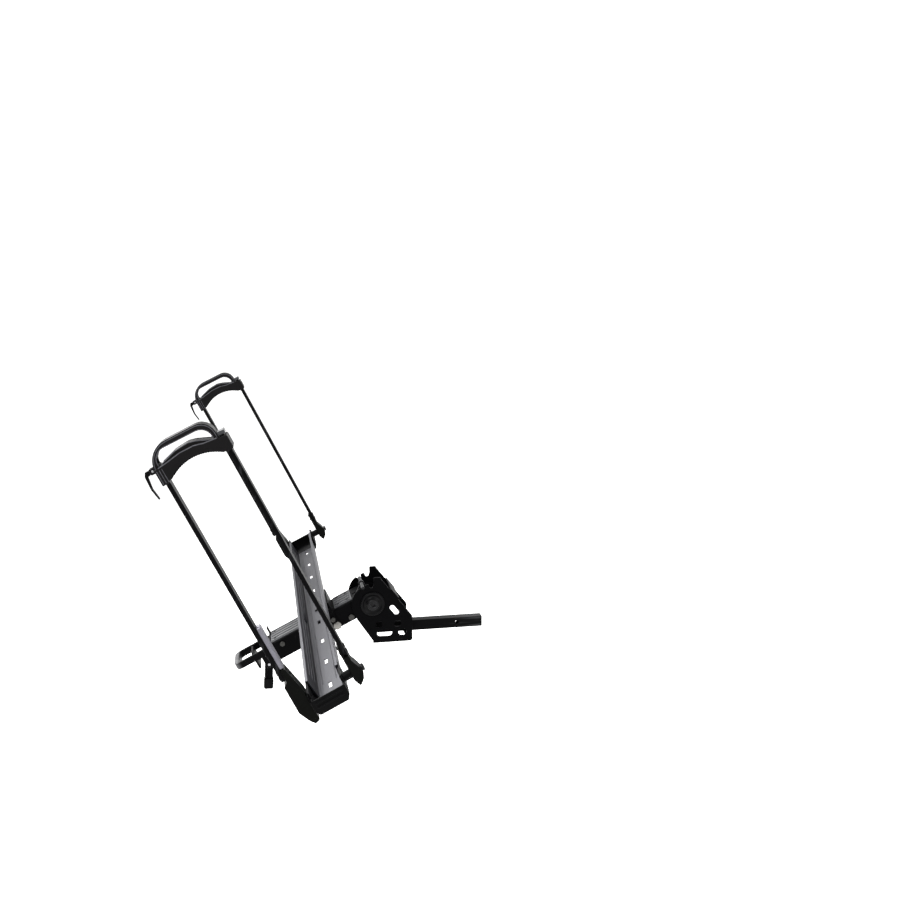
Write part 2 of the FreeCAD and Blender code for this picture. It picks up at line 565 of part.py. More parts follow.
def side_plate(label, low, high):
    """One bracket plate between two places along the tray."""
    plate = body(label, LEVEL)
    edge = [("plate_toe", "-plate_foot"), ("plate_front", "-plate_foot"),
            ("plate_front", "-plate_shoulder"), ("tab_front", "tab_top - tab_slope"),
            ("tab_front", "tab_top"), ("tab_back", "tab_top"), ("tab_back", "0"),
            ("-plate_back", "0"), ("-plate_back", "-plate_back_drop"),
            ("plate_toe", "plate_heel - plate_foot")]
    pad(plate, label + "_sheet", "XZ", edge, low, high,
        rounds={1: "plate_foot_round", 2: "plate_shoulder_round", 4: "tab_round", 5: "tab_round"})
    rod(plate, label + "_lobe", "y", ("0", low, "0"), "lobe_radius", "(%s) - (%s)" % (high, low))
    for number, angle in enumerate(("notch_angle", "notch_angle - tilt_down")):
        rod(plate, "%s_notch_%d" % (label, number), "y",
            ("notch_radius * cos(%s)" % angle, low, "notch_radius * sin(%s)" % angle),
            "notch_width / 2", "(%s) - (%s)" % (high, low), cut=True)
        corners = []
        rim = "lobe_radius + cut_past"
        for side, reach, wide in ((-1, "notch_radius", "notch_width"), (-1, rim, "notch_mouth"),
                                  (1, rim, "notch_mouth"), (1, "notch_radius", "notch_width")):
            across = "%d * (%s) / 2" % (side, wide)
            x = "(%s) * cos(%s) - %s * sin(%s)" % (reach, angle, across, angle)
            z = "(%s) * sin(%s) + %s * cos(%s)" % (reach, angle, across, angle)
            corners.append((x, z))
        pad(plate, "%s_mouth_%d" % (label, number), "XZ", corners, low, high, cut=True)
    slot(plate, label + "_slope_slot", ("slot_ahead", "-slot_drop"), "slot_long", "slot_wide",
         low, high, turn="-%s" % SLOPE)
    slot(plate, label + "_long_slot", ("foot_slot_ahead", "-foot_slot_drop"), "foot_slot_long",
         "foot_slot_wide", low, high)
    slot(plate, label + "_short_slot", ("foot_slot_ahead + foot_slot_step", "-foot_slot_drop"),
         "foot_slot_short", "foot_slot_wide", low, high)
    rod(plate, label + "_bore", "y", ("0", low, "0"), "pivot_radius + running_gap",
        "(%s) - (%s)" % (high, low), cut=True)
    return plate


def window(plate, name, at, long, wide, low, high):
    """A rectangular opening with rounded corners in a side plate."""
    corners = []
    for along, up in ((-1, -1), (1, -1), (1, 1), (-1, 1)):
        x = "%s + %d * (%s) / 2" % (at[0], along, long)
        z = "%s + %d * (%s) / 2" % (at[1], up, wide)
        corners.append((x, z))
    pad(plate, name, "XZ", corners, low, high, cut=True,
        rounds={corner: "plate_window_round" for corner in range(4)})


half_gap = "(spine_wide / 2 + bush_rim)"
near_low, near_high = "-%s - plate_thick" % half_gap, "-" + half_gap
far_low, far_high = half_gap, half_gap + " + plate_thick"
near_plate = side_plate("bracket_near_plate", near_low, near_high)
window(near_plate, "near_rear_window", ("window_rear", "-window_drop"), "window_long", "window_high",
       near_low, near_high)
window(near_plate, "near_front_window", ("window_front", "-window_drop"), "window_long", "window_high",
       near_low, near_high)
far_plate = side_plate("bracket_far_plate", far_low, far_high)
window(far_plate, "far_rear_window", ("window_rear", "-window_drop"), "window_long", "window_high",
       far_low, far_high)
window(far_plate, "far_large_window", ("far_window", "-far_window_drop"), "far_window_long",
       "far_window_high", far_low, far_high)


def cross_web(label, low, high):
    """A plate across the bracket with a square hole that the drawbar is welded in."""
    web = body(label, LEVEL)
    box(web, label + "_sheet", (low, high), (near_high, far_low),
        ("web_thick - plate_foot", "web_rise - pivot_rise"))
    hole = "bar_side / 2 + press_gap"
    box(web, label + "_hole", (low, high), ("-(%s)" % hole, hole),
        ("-pivot_rise - (%s)" % hole, "-pivot_rise + %s" % hole), cut=True)
    return web


cross_web("bracket_rear_web", "bar_inset + web_inset", "bar_inset + web_inset + web_thick")
cross_web("bracket_front_web", "plate_front - front_web_inset - web_thick", "plate_front - front_web_inset")

# Floor: ties the bracket's foot between the side plates, open in the middle.
floor = body("bracket_floor", LEVEL)
floor_rear = "bar_inset + web_inset"
floor_front = "plate_front - front_web_inset"
box(floor, "floor_sheet", (floor_rear, floor_front), (near_high, far_low),
    ("-plate_foot", "web_thick - plate_foot"))
box(floor, "floor_opening", ("%s + floor_rim" % floor_rear, "%s - floor_rim" % floor_front),
    ("floor_rim - " + half_gap, half_gap + " - floor_rim"), ("-plate_foot", "web_thick - plate_foot"),
    cut=True)

# Gusset: a strip welded across the sloping edges of both side plates.
gusset = body("bracket_gusset", LEVEL)
strip = []
for along, above in (("gusset_from", "0"), ("gusset_from + gusset_long", "0"),
                     ("gusset_from + gusset_long", "gusset_thick"), ("gusset_from", "gusset_thick")):
    strip.append(("tab_front + (%s) * cos(%s) + (%s) * sin(%s)" % (along, SLOPE, above, SLOPE),
                  "tab_top - tab_slope - (%s) * sin(%s) + (%s) * cos(%s)" % (along, SLOPE, above, SLOPE)))
pad(gusset, "gusset_strip", "XZ", strip, near_low, far_high,
    rounds={2: "gusset_round", 3: "gusset_round"})

# Hinge bolt: a round-headed socket bolt through both plates and the spine's bushes.
outside = far_high
pivot_bolt = body("pivot_bolt", LEVEL)
rod(pivot_bolt, "bolt_head", "y", ("0", "-(%s) - cap_thick - bolt_head_high" % outside, "0"),
    "bolt_head_radius", "bolt_head_high")
rod(pivot_bolt, "bolt_shank", "y", ("0", "-(%s) - cap_thick - join" % outside, "0"), "pivot_radius",
    "join + 2 * (%s) + 2 * cap_thick + nut_high + bolt_tail" % outside)
rod(pivot_bolt, "bolt_socket", "y", ("0", "-(%s) - cap_thick - bolt_head_high" % outside, "0"),
    "socket_radius", "socket_depth", cut=True)

pivot_nut = body("pivot_nut", LEVEL)
hexagon(pivot_nut, "nut_hexagon", ("0", "0"), "nut_flat", "%s + cap_thick" % outside,
        "%s + cap_thick + nut_high" % outside)
rod(pivot_nut, "nut_bore", "y", ("0", outside, "0"), "pivot_radius + running_gap",
    "cap_thick + nut_high + cut_past", cut=True)

# Hinge caps: a thick round washer on each side plate.
caps = body("pivot_caps", LEVEL)
for number, low in enumerate(("-(%s) - cap_thick" % outside, outside)):
    rod(caps, "cap_disc_%d" % number, "y", ("0", low, "0"), "cap_radius", "cap_thick")
for number, low in enumerate(("-(%s) - cap_thick" % outside, outside)):
    rod(caps, "cap_bore_%d" % number, "y", ("0", low, "0"), "pivot_radius + running_gap", "cap_thick",
        cut=True)

# Spine: a folded steel channel, open below, with rounded front ends round the hinge.
spine = body("spine_channel", TILTED)
half_spine = "spine_wide / 2"
profile = [("-spine_wide / 2", "-spine_bottom"), (half_spine, "-spine_bottom"),
           (half_spine, "spine_top"), ("-spine_wide / 2", "spine_top")]
pad(spine, "spine_stock", "YZ", profile, "-spine_long", "0", rounds={2: "spine_bend", 3: "spine_bend"})
rod(spine, "spine_nose", "y", ("0", "-spine_wide / 2", "0"), "nose_radius", "spine_wide")
box(spine, "spine_inside", ("-spine_long", "nose_radius"),
    ("spine_wall - spine_wide / 2", "spine_wide / 2 - spine_wall"),
    ("-nose_radius", "spine_top - spine_wall"), cut=True)
rod(spine, "spine_bush_hole", "y", ("0", "-spine_wide / 2", "0"), "bush_radius + press_gap", "spine_wide",
    cut=True)
blade_slot = "blade_thick / 2 + seat_gap"
box(spine, "spine_blade_slot", ("-cam_pin_behind - blade_slot_behind", "blade_slot_ahead"),
    ("-(%s)" % blade_slot, blade_slot), ("0", "spine_top"), cut=True)
for name, behind, drop, radius in (
        ("spine_side_hole", "side_bolt_behind", "side_bolt_drop", "large_bolt_radius"),
        ("spine_clamp_hole", "clamp_bolt_behind", "clamp_bolt_drop", "large_bolt_radius"),
        ("spine_saddle_hole_0", "tray_behind + saddle_bolt_apart / 2", "saddle_bolt_drop - spine_top",
         "small_bolt_radius"),
        ("spine_saddle_hole_1", "tray_behind - saddle_bolt_apart / 2", "saddle_bolt_drop - spine_top",
         "small_bolt_radius"),
        ("spine_handle_hole", "handle_bolt_behind", "rail_high / 2 + spine_wall + rail_gap - spine_top",
         "small_bolt_radius")):
    rod(spine, name, "y", ("-(%s)" % behind, "-spine_wide / 2", "-(%s)" % drop),
        "%s + press_gap" % radius, "spine_wide", cut=True)

# Spine covers: moulded strips with raised ribs that lie on the channel's top.
half_cover = "(spine_wide / 2 - cover_inset)"


def cover(label, low, high):
    """A ribbed cover between two places along the spine."""
    lid = body(label, TILTED)
    box(lid, label + "_base", (low, high), ("-" + half_cover, half_cover),
        ("spine_top", "spine_top + cover_thick"))
    for step in (-2, -1, 0, 1, 2):
        middle = "%d * (%s - cover_rib_edge) / 2" % (step, half_cover)
        box(lid, "%s_rib_%d" % (label, step + 2),
            ("(%s) + cover_margin" % low, "(%s) - cover_margin" % high),
            ("%s - cover_rib_wide / 2" % middle, "%s + cover_rib_wide / 2" % middle),
            ("spine_top", "spine_top + cover_thick + cover_rib"))
    return lid


cover("spine_front_cover", "-front_cover_from", "-front_cover_to")
cover("spine_rear_cover", "-spine_long", "-rear_cover_to")

# End cap: closes the channel's outer end over the handle rails and carries two lugs on top.
end_cap = body("spine_end_cap", TILTED)
box(end_cap, "end_cap_bridge", ("-spine_long - end_cap_thick", "-spine_long"),
    ("-spine_wide / 2", "spine_wide / 2"), ("spine_top - spine_wall", "spine_top + end_cap_bridge"))
for number, side in enumerate((-1, 1)):
    inner_edge = "%d * (spine_wide / 2 - end_cap_lug)" % side
    outer_edge = "%d * spine_wide / 2" % side
    span = (outer_edge, inner_edge) if side < 0 else (inner_edge, outer_edge)
    box(end_cap, "end_cap_lug_%d" % number, ("-spine_long - end_cap_thick", "-spine_long"), span,
        ("spine_top", "spine_top + end_cap_rise"))

# Hinge bushes: flanged nylon bushes pressed into the spine's side walls from outside.
bushes = body("pivot_bushes", TILTED)
flange_high = half_gap + " - seat_gap"
for number, side in enumerate((-1, 1)):
    wall = ("spine_wide / 2 - spine_wall", "spine_wide / 2")
    rim = ("spine_wide / 2", flange_high)
    wall_low = "-(%s)" % wall[1] if side < 0 else wall[0]
    rim_low = "-(%s)" % rim[1] if side < 0 else rim[0]
    rod(bushes, "bush_core_%d" % number, "y", ("0", wall_low, "0"), "bush_radius", "spine_wall")
    rod(bushes, "bush_rim_%d" % number, "y", ("0", rim_low, "0"), "bush_flange",
        "(%s) - spine_wide / 2" % flange_high)
rod(bushes, "bush_bore", "y", ("0", "-spine_wide", "0"), "pivot_radius + running_gap", "2 * spine_wide",
    cut=True)

# Hinge sleeve: a steel tube that keeps the spine's walls apart on the hinge bolt.
sleeve = body("pivot_sleeve", TILTED)
rod(sleeve, "sleeve_tube", "y", ("0", "spine_wall - spine_wide / 2", "0"), "sleeve_radius",
    "spine_wide - 2 * spine_wall")
rod(sleeve, "sleeve_bore", "y", ("0", "-spine_wide", "0"), "pivot_radius + running_gap", "2 * spine_wide",
    cut=True)


def hex_bolt(piece, name, behind, above, radius, flats, head_high, head_from, nut_from):
    """A hexagon bolt along the hinge axis: head on the near side, plain nut on the far side."""
    at = ("-(%s)" % behind, above)
    hexagon(piece, name + "_head", at, flats, "-(%s) - %s" % (head_from, head_high), "-(%s)" % head_from)
    rod(piece, name + "_shank", "y", (at[0], "-(%s)" % head_from, above), radius,
        "(%s) + (%s)" % (head_from, nut_from))
    hexagon(piece, name + "_nut", at, flats, nut_from, "%s + %s" % (nut_from, head_high))


# Cross bolts of the spine: a zinc side bolt near the hinge and a large one under the tray.
side_bolt = body("spine_side_bolt", TILTED)
hex_bolt(side_bolt, "side_bolt", "side_bolt_behind", "-side_bolt_drop", "large_bolt_radius",
         "side_head_flat", "side_head_high", half_spine, half_spine)
clamp_bolt = body("spine_clamp_bolt", TILTED)
skirt = "spine_wide / 2 + seat_gap + saddle_skirt_thick"
hex_bolt(clamp_bolt, "clamp_bolt", "clamp_bolt_behind", "-clamp_bolt_drop", "large_bolt_radius",
         "large_head_flat", "large_head_high", half_spine, half_spine)

# Handle: a U-shaped steel loop whose rails are bolted inside the spine.
handle = body("handle_loop", TILTED)
rail_out = "spine_wide / 2 - spine_wall - rail_side_gap"
rail_top = "spine_top - spine_wall - rail_gap"
rail_low = "spine_top - spine_wall - rail_gap - rail_high"
trigger_behind = "(handle_reach - trigger_setback)"
foot_behind = "(handle_reach - foot_setback)"
loop = [("-handle_reach", "-(%s)" % rail_out), ("-rail_from", "-(%s)" % rail_out),
        ("-rail_from", rail_out), ("-handle_reach", rail_out)]
pad(handle, "handle_stock", "XY", loop, rail_low, rail_top, rounds={0: "handle_corner", 3: "handle_corner"})
gap = [("handle_bar - handle_reach", "rail_thick - (%s)" % rail_out),
       ("cut_past - rail_from", "rail_thick - (%s)" % rail_out),
       ("cut_past - rail_from", "%s - rail_thick" % rail_out),
       ("handle_bar - handle_reach", "%s - rail_thick" % rail_out)]
pad(handle, "handle_gap", "XY", gap, rail_low, rail_top, cut=True,
    rounds={0: "handle_inner_corner", 3: "handle_inner_corner"})
for number, side in enumerate((-1, 1)):
    ear = ("%s - foot_ear" % rail_out, rail_out)
    span = ("-(%s)" % ear[1], "-(%s)" % ear[0]) if side < 0 else ear
    box(handle, "handle_ear_%d" % number,
        ("-%s - foot_ear_half" % foot_behind, "foot_ear_half - " + foot_behind),
        span, ("-foot_drop - foot_ear_half", "%s + join" % rail_low))
rod(handle, "handle_ear_hole", "y", ("-" + foot_behind, "-spine_wide / 2", "-foot_drop"),
    "foot_pin_radius + press_gap", "spine_wide", cut=True)
rail_middle = "%s + rail_high / 2" % rail_low
rod(handle, "handle_bolt_hole", "y", ("-handle_bolt_behind", "-spine_wide / 2", rail_middle),
    "small_bolt_radius + press_gap", "spine_wide", cut=True)

handle_bolt = body("handle_bolt", TILTED)
hex_bolt(handle_bolt, "handle_bolt", "handle_bolt_behind", rail_middle, "small_bolt_radius",
         "small_head_flat", "small_head_high", half_spine, half_spine)

# Trigger: a paddle in the handle, fixed on the pull rod.
trigger = body("trigger", TILTED)
half_trigger = "(%s - rail_thick - trigger_gap)" % rail_out
paddle = [("-" + half_trigger, "trigger_low"), (half_trigger, "trigger_low"),
          (half_trigger, "trigger_high"), ("-" + half_trigger, "trigger_high")]
pad(trigger, "trigger_paddle", "YZ", paddle, "-" + trigger_behind, "trigger_thick - " + trigger_behind,
    rounds={0: "trigger_foot_round", 1: "trigger_foot_round", 2: "trigger_head_round",
            3: "trigger_head_round"})
rod(trigger, "trigger_hub", "x", ("trigger_thick - " + trigger_behind, "0", "rod_rise"), "collar_radius",
    "trigger_hub")
rod(trigger, "trigger_bore", "x", ("-" + trigger_behind, "0", "rod_rise"), "rod_radius + press_gap",
    "trigger_thick + trigger_hub", cut=True)

# Pull rod: runs inside the spine to a fork whose sloping slots lift the latch blade.
pull_rod = body("pull_rod", TILTED)
rod(pull_rod, "rod_bar", "x", ("-" + trigger_behind, "0", "rod_rise"), "rod_radius",
    trigger_behind + " - cam_pin_behind - fork_back + fork_bridge / 2")
collar_from = "-%s - foot_wide / 2 - seat_gap - collar_long" % foot_behind
rod(pull_rod, "rod_collar", "x", (collar_from, "0", "rod_rise"), "collar_radius", "collar_long")
cheek_in = "blade_thick / 2 + seat_gap"
fork_face = [("-cam_pin_behind - fork_back", "-fork_low"), ("-fork_front", "-fork_low"),
             ("-fork_front", "fork_high"), ("-cam_pin_behind - fork_back", "fork_high")]
pad(pull_rod, "rod_fork", "XZ", fork_face, "-(%s) - fork_thick" % cheek_in, "%s + fork_thick" % cheek_in,
    rounds={1: "fork_round", 2: "fork_round"})
box(pull_rod, "rod_fork_gap", ("fork_bridge - cam_pin_behind - fork_back", "cut_past - fork_front"),
    ("-(%s)" % cheek_in, cheek_in), ("-fork_low - cut_past", "fork_high + cut_past"), cut=True)
# The fork's slots slope at 45 degrees, so the blade rises as far as the rod moves.
half_slot = "cam_pin_radius + seat_gap"
ramp = []
for along, across in (("-(%s)" % half_slot, 1), ("-(%s)" % half_slot, -1),
                      ("latch_travel * sqrt(2) + %s" % half_slot, -1),
                      ("latch_travel * sqrt(2) + %s" % half_slot, 1)):
    side = "%d * (%s)" % (across, half_slot)
    ramp.append(("-cam_pin_behind + ((%s) - %s) * cos(45)" % (along, side),
                 "-cam_pin_drop + ((%s) + %s) * cos(45)" % (along, side)))
pad(pull_rod, "rod_fork_slot", "XZ", ramp, "-(%s) - fork_thick - cut_past" % cheek_in,
    "%s + fork_thick + cut_past" % cheek_in, cut=True)

# Latch: a blade that rises out of the spine and carries the cross bar into the plates' notches.
bar_u = "notch_radius * cos(notch_angle - tilt_down)"
bar_v = "notch_radius * sin(notch_angle - tilt_down)"
blade = body("latch_blade", TILTED)
blade_edge = [("blade_front", "%s - blade_neck_top" % bar_v), ("blade_front", "blade_step"),
              ("-blade_throat_behind", "blade_throat_rise"),
              ("blade_toe_long - cam_pin_behind", "-blade_toe"),
              ("-cam_pin_behind - blade_heel", "-blade_toe"),
              ("-cam_pin_behind - blade_heel", "blade_shoulder"),
              ("-blade_neck", "%s - blade_neck_top" % bar_v)]
pad(blade, "blade_sheet", "XZ", blade_edge, "-blade_thick / 2", "blade_thick / 2",
    rounds={3: "blade_round", 4: "blade_round"})
rod(blade, "blade_eye", "y", (bar_u, "-blade_thick / 2", bar_v), "latch_eye", "blade_thick")
rod(blade, "blade_cam_pin", "y", ("-cam_pin_behind", "-(%s) - fork_thick" % cheek_in, "-cam_pin_drop"),
    "cam_pin_radius", "2 * (%s + fork_thick)" % cheek_in)
rod(blade, "blade_bar_hole", "y", (bar_u, "-blade_thick", bar_v), "latch_bar_radius + press_gap",
    "2 * blade_thick", cut=True)

latch_bar = body("latch_bar", TILTED)
rod(latch_bar, "latch_bar_round", "y", (bar_u, "latch_bar_gap - " + half_gap, bar_v), "latch_bar_radius",
    "2 * (%s - latch_bar_gap)" % half_gap)

# Latch guides: two blocks under the spine's top that keep the blade square.
guides = body("latch_guides", TILTED)
for number, side in enumerate((-1, 1)):
    near_face = "blade_thick / 2 + seat_gap"
    span = (near_face, "%s + guide_thick" % near_face)
    if side < 0:
        span = ("-(%s)" % span[1], "-(%s)" % span[0])
    box(guides, "guide_block_%d" % number, ("-cam_pin_behind - guide_behind", "guide_front"), span,
        ("guide_low", "spine_top - spine_wall"))

# Foot lever: hangs from a pin under the handle rails and pushes the rod's collar outwards.
foot = body("foot_lever", frame(u="-" + foot_behind, w="0", v="-foot_drop"))
reach_x = "-foot_reach * sin(foot_lean)"
reach_z = "-foot_reach * cos(foot_lean)"
lever_side = []
for along, across in ((0, "0 - foot_wide / 2"), (1, "0 - foot_wide / 2"), (1, "foot_wide / 2"),
                      (0, "foot_wide / 2")):
    lever_side.append(("%d * (%s) + (%s) * cos(foot_lean)" % (along, reach_x, across),
                       "%d * (%s) - (%s) * sin(foot_lean)" % (along, reach_z, across)))
pad(foot, "foot_bar", "XZ", lever_side, "-foot_thick / 2", "foot_thick / 2",
    rounds={1: "foot_round", 2: "foot_round"})
rod(foot, "foot_hub", "y", ("0", "-foot_thick / 2 - foot_hub_side", "0"), "foot_wide / 2",
    "foot_thick + 2 * foot_hub_side")
for number, side in enumerate((-1, 1)):
    inner_side = "rod_radius + prong_gap"
    outer_side = "foot_thick / 2 + foot_hub_side"
    span = (inner_side, outer_side) if side > 0 else ("-(%s)" % outer_side, "-(%s)" % inner_side)
    box(foot, "foot_prong_%d" % number, ("-foot_wide / 2", "prong_thick - foot_wide / 2"), span,
        ("0", "foot_drop + rod_rise"))
rod(foot, "foot_bore", "y", ("0", "-foot_thick - foot_hub_side", "0"), "foot_pin_radius + running_gap",
    "2 * (foot_thick + foot_hub_side)", cut=True)

foot_pad = body("foot_pad", frame(u="-" + foot_behind, w="0", v="-foot_drop"))
pad_side = []
for along, across in (("foot_reach - foot_pad_long", -1), ("foot_reach + foot_pad_wall", -1),
                      ("foot_reach + foot_pad_wall", 1), ("foot_reach - foot_pad_long", 1)):
    side = "%d * (foot_wide / 2 + foot_pad_wall)" % across
    pad_side.append(("-(%s) * sin(foot_lean) + (%s) * cos(foot_lean)" % (along, side),
                     "-(%s) * cos(foot_lean) - (%s) * sin(foot_lean)" % (along, side)))
pad(foot_pad, "foot_pad_block", "XZ", pad_side, "-foot_thick / 2 - foot_pad_wall",
    "foot_thick / 2 + foot_pad_wall", rounds={1: "foot_pad_round", 2: "foot_pad_round"})
pocket_side = []
for along, across in (("foot_reach - foot_pad_long - cut_past", -1), ("foot_reach + press_gap", -1),
                      ("foot_reach + press_gap", 1), ("foot_reach - foot_pad_long - cut_past", 1)):
    side = "%d * (foot_wide / 2 + press_gap)" % across
    pocket_side.append(("-(%s) * sin(foot_lean) + (%s) * cos(foot_lean)" % (along, side),
                        "-(%s) * cos(foot_lean) - (%s) * sin(foot_lean)" % (along, side)))
pad(foot_pad, "foot_pad_pocket", "XZ", pocket_side, "-foot_thick / 2 - press_gap",
    "foot_thick / 2 + press_gap", cut=True, rounds={1: "foot_round", 2: "foot_round"})

foot_pin = body("foot_lever_pin", frame(u="-" + foot_behind, w="0", v="-foot_drop"))
rod(foot_pin, "foot_pin_bar", "y", ("0", "-(%s)" % rail_out, "0"), "foot_pin_radius", "2 * (%s)" % rail_out)

# Lever spring: a torsion coil round the foot lever's pin, beside the hub.
spring_side = "foot_thick / 2 + foot_hub_side + spring_wire"
spring = body("lever_spring", frame(u="-" + foot_behind, w=spring_side, v="-foot_drop"))
coil_circle = spring.newObject("Sketcher::SketchObject", "spring_section")
coil_circle.AttachmentSupport = [([item for item in spring.Origin.OriginFeatures
                                   if item.Role == "XY_Plane"][0], "")]
coil_circle.MapMode = "FlatFace"
wire_middle = FreeCAD.Vector(sheet_value("spring_coil"), sheet_value("spring_wire / 2"), 0)
wire_circle = Part.Circle(wire_middle, FreeCAD.Vector(0, 0, 1), sheet_value("spring_wire / 2"))
coil_circle.addGeometry(wire_circle, False)
for kind, text in (("DistanceX", "spring_coil"), ("DistanceY", "spring_wire / 2")):
    number = coil_circle.addConstraint(Sketcher.Constraint(kind, -1, 1, 0, 3, sheet_value(text)))
    coil_circle.setExpression("Constraints[%d]" % number, ex(text))
number = coil_circle.addConstraint(Sketcher.Constraint("Radius", 0, sheet_value("spring_wire / 2")))
coil_circle.setExpression("Constraints[%d]" % number, ex("spring_wire / 2"))
coil = spring.newObject("PartDesign::AdditiveHelix", "spring_coil")
coil.Profile = coil_circle
coil.ReferenceAxis = (coil_circle, ["V_Axis"])
coil.Mode = "pitch-turns-angle"
coil.setExpression("Pitch", ex("spring_pitch"))
coil.setExpression("Turns", ex("spring_turns"))

# Saddle: a pressed bracket over the spine that the tray is bolted on.
saddle = body("tray_saddle", frame(u="-tray_behind"))
half_saddle = "(spine_wide / 2 + saddle_ledge)"
box(saddle, "saddle_block", ("-saddle_half", "saddle_half"), ("-" + half_saddle, half_saddle),
    ("spine_top", "tray_rise"))
box(saddle, "saddle_hollow", ("saddle_wall - saddle_half", "saddle_half - saddle_wall"),
    ("saddle_wall - " + half_saddle, half_saddle + " - saddle_wall"),
    ("spine_top", "tray_rise - saddle_wall"), cut=True)
for number, side in enumerate((-1, 1)):
    span = ("spine_wide / 2 + seat_gap", skirt)
    if side < 0:
        span = ("-(%s)" % span[1], "-(%s)" % span[0])
    box(saddle, "saddle_skirt_%d" % number, ("-saddle_half", "saddle_half"), span,
        ("spine_top - saddle_skirt", "tray_rise"))
    cheek = ("tray_floor_half + saddle_cheek_gap", "saddle_half")
    if side < 0:
        cheek = ("-(%s)" % cheek[1], "-(%s)" % cheek[0])
    box(saddle, "saddle_cheek_%d" % number, cheek, ("-" + half_saddle, half_saddle),
        ("tray_rise - saddle_wall", "tray_rise + saddle_cheek"))
tray_room = [("-tray_floor_half - seat_gap", "tray_rise"), ("tray_floor_half + seat_gap", "tray_rise"),
             ("tray_top_half + seat_gap", "tray_rise + tray_high"),
             ("-tray_top_half - seat_gap", "tray_rise + tray_high")]
pad(saddle, "saddle_tray_room", "XZ", tray_room, "-spine_wide", "spine_wide", cut=True)
tray_bolt_out = "(spine_wide / 2 - tray_bolt_inset)"
for number, side in enumerate((-1, 1)):
    rod(saddle, "saddle_side_hole_%d" % number, "y",
        ("%d * saddle_bolt_apart / 2" % side, "-spine_wide", "spine_top - saddle_bolt_drop"),
        "small_bolt_radius + press_gap", "2 * spine_wide", cut=True)
    rod(saddle, "saddle_floor_hole_%d" % number, "z", ("0", "%d * %s" % (side, tray_bolt_out), "spine_top"),
        "small_bolt_radius + press_gap", "tray_high", cut=True)
rod(saddle, "saddle_clamp_room", "y",
    ("tray_behind - clamp_bolt_behind", "-spine_wide", "-clamp_bolt_drop"),
    "large_head_flat / sqrt(3) + clamp_room", "2 * spine_wide", cut=True)

saddle_bolts = body("saddle_bolts", TILTED)
for number, side in enumerate(("+", "-")):
    hex_bolt(saddle_bolts, "saddle_bolt_%d" % number, "tray_behind %s saddle_bolt_apart / 2" % side,
             "spine_top - saddle_bolt_drop", "small_bolt_radius", "small_head_flat", "small_head_high",
             skirt, skirt)

# Tray: an extruded channel with a lip along each wall, drained and slotted for straps.
tray = body("wheel_tray", frame(u="-tray_behind"))
slant = "(tray_top_half - tray_floor_half) / tray_high"
tray_edge = [("-tray_floor_half", "tray_rise"), ("tray_floor_half", "tray_rise"),
             ("tray_top_half - tray_wall * %s" % slant, "tray_rise + tray_high - tray_wall"),
             ("tray_top_half + tray_lip", "tray_rise + tray_high - tray_wall"),
             ("tray_top_half + tray_lip", "tray_rise + tray_high"),
             ("tray_top_half - tray_wall", "tray_rise + tray_high"),
             ("tray_floor_half - tray_wall + 2 * tray_wall * %s" % slant, "tray_rise + tray_wall"),
             ("-(tray_floor_half - tray_wall + 2 * tray_wall * %s)" % slant, "tray_rise + tray_wall"),
             ("-tray_top_half + tray_wall", "tray_rise + tray_high"),
             ("-tray_top_half - tray_lip", "tray_rise + tray_high"),
             ("-tray_top_half - tray_lip", "tray_rise + tray_high - tray_wall"),
             ("-tray_top_half + tray_wall * %s" % slant, "tray_rise + tray_high - tray_wall")]
pad(tray, "tray_channel", "XZ", tray_edge, "-arm_span / 2 + tray_short", "arm_span / 2 - tray_short",
    rounds={0: "tray_round", 1: "tray_round", 6: "tray_inner_round", 7: "tray_inner_round"})
SLOTS_EACH_SIDE = 4
for side in (-1, 1):
    for step in range(SLOTS_EACH_SIDE):
        middle = "%d * (strap_slot_first + %d * strap_slot_pitch)" % (side, step)
        box(tray, "tray_slot_%d_%d" % (side + 1, step), ("-strap_slot_wide / 2", "strap_slot_wide / 2"),
            ("%s - strap_slot_long / 2" % middle, "%s + strap_slot_long / 2" % middle),
            ("tray_rise", "tray_rise + tray_wall"), cut=True)
    rod(tray, "tray_bolt_hole_%d" % (side + 1), "z", ("0", "%d * %s" % (side, tray_bolt_out), "tray_rise"),
        "small_bolt_radius + press_gap", "tray_wall", cut=True)

tray_bolts = body("tray_bolts", frame(u="-tray_behind"))
for side in (-1, 1):
    across = "%d * %s" % (side, tray_bolt_out)
    rod(tray_bolts, "tray_bolt_head_%d" % (side + 1), "z", ("0", across, "tray_rise + tray_wall"),
        "small_head_flat / 2", "tray_head_high")
    nut_from = "tray_rise - saddle_wall - tray_nut_high"
    rod(tray_bolts, "tray_bolt_shank_%d" % (side + 1), "z", ("0", across, "%s - bolt_past" % nut_from),
        "small_bolt_radius", "bolt_past + tray_nut_high + saddle_wall + tray_wall + join")
    rod(tray_bolts, "tray_bolt_nut_%d" % (side + 1), "z", ("0", across, nut_from),
        "small_head_flat / 2", "tray_nut_high")


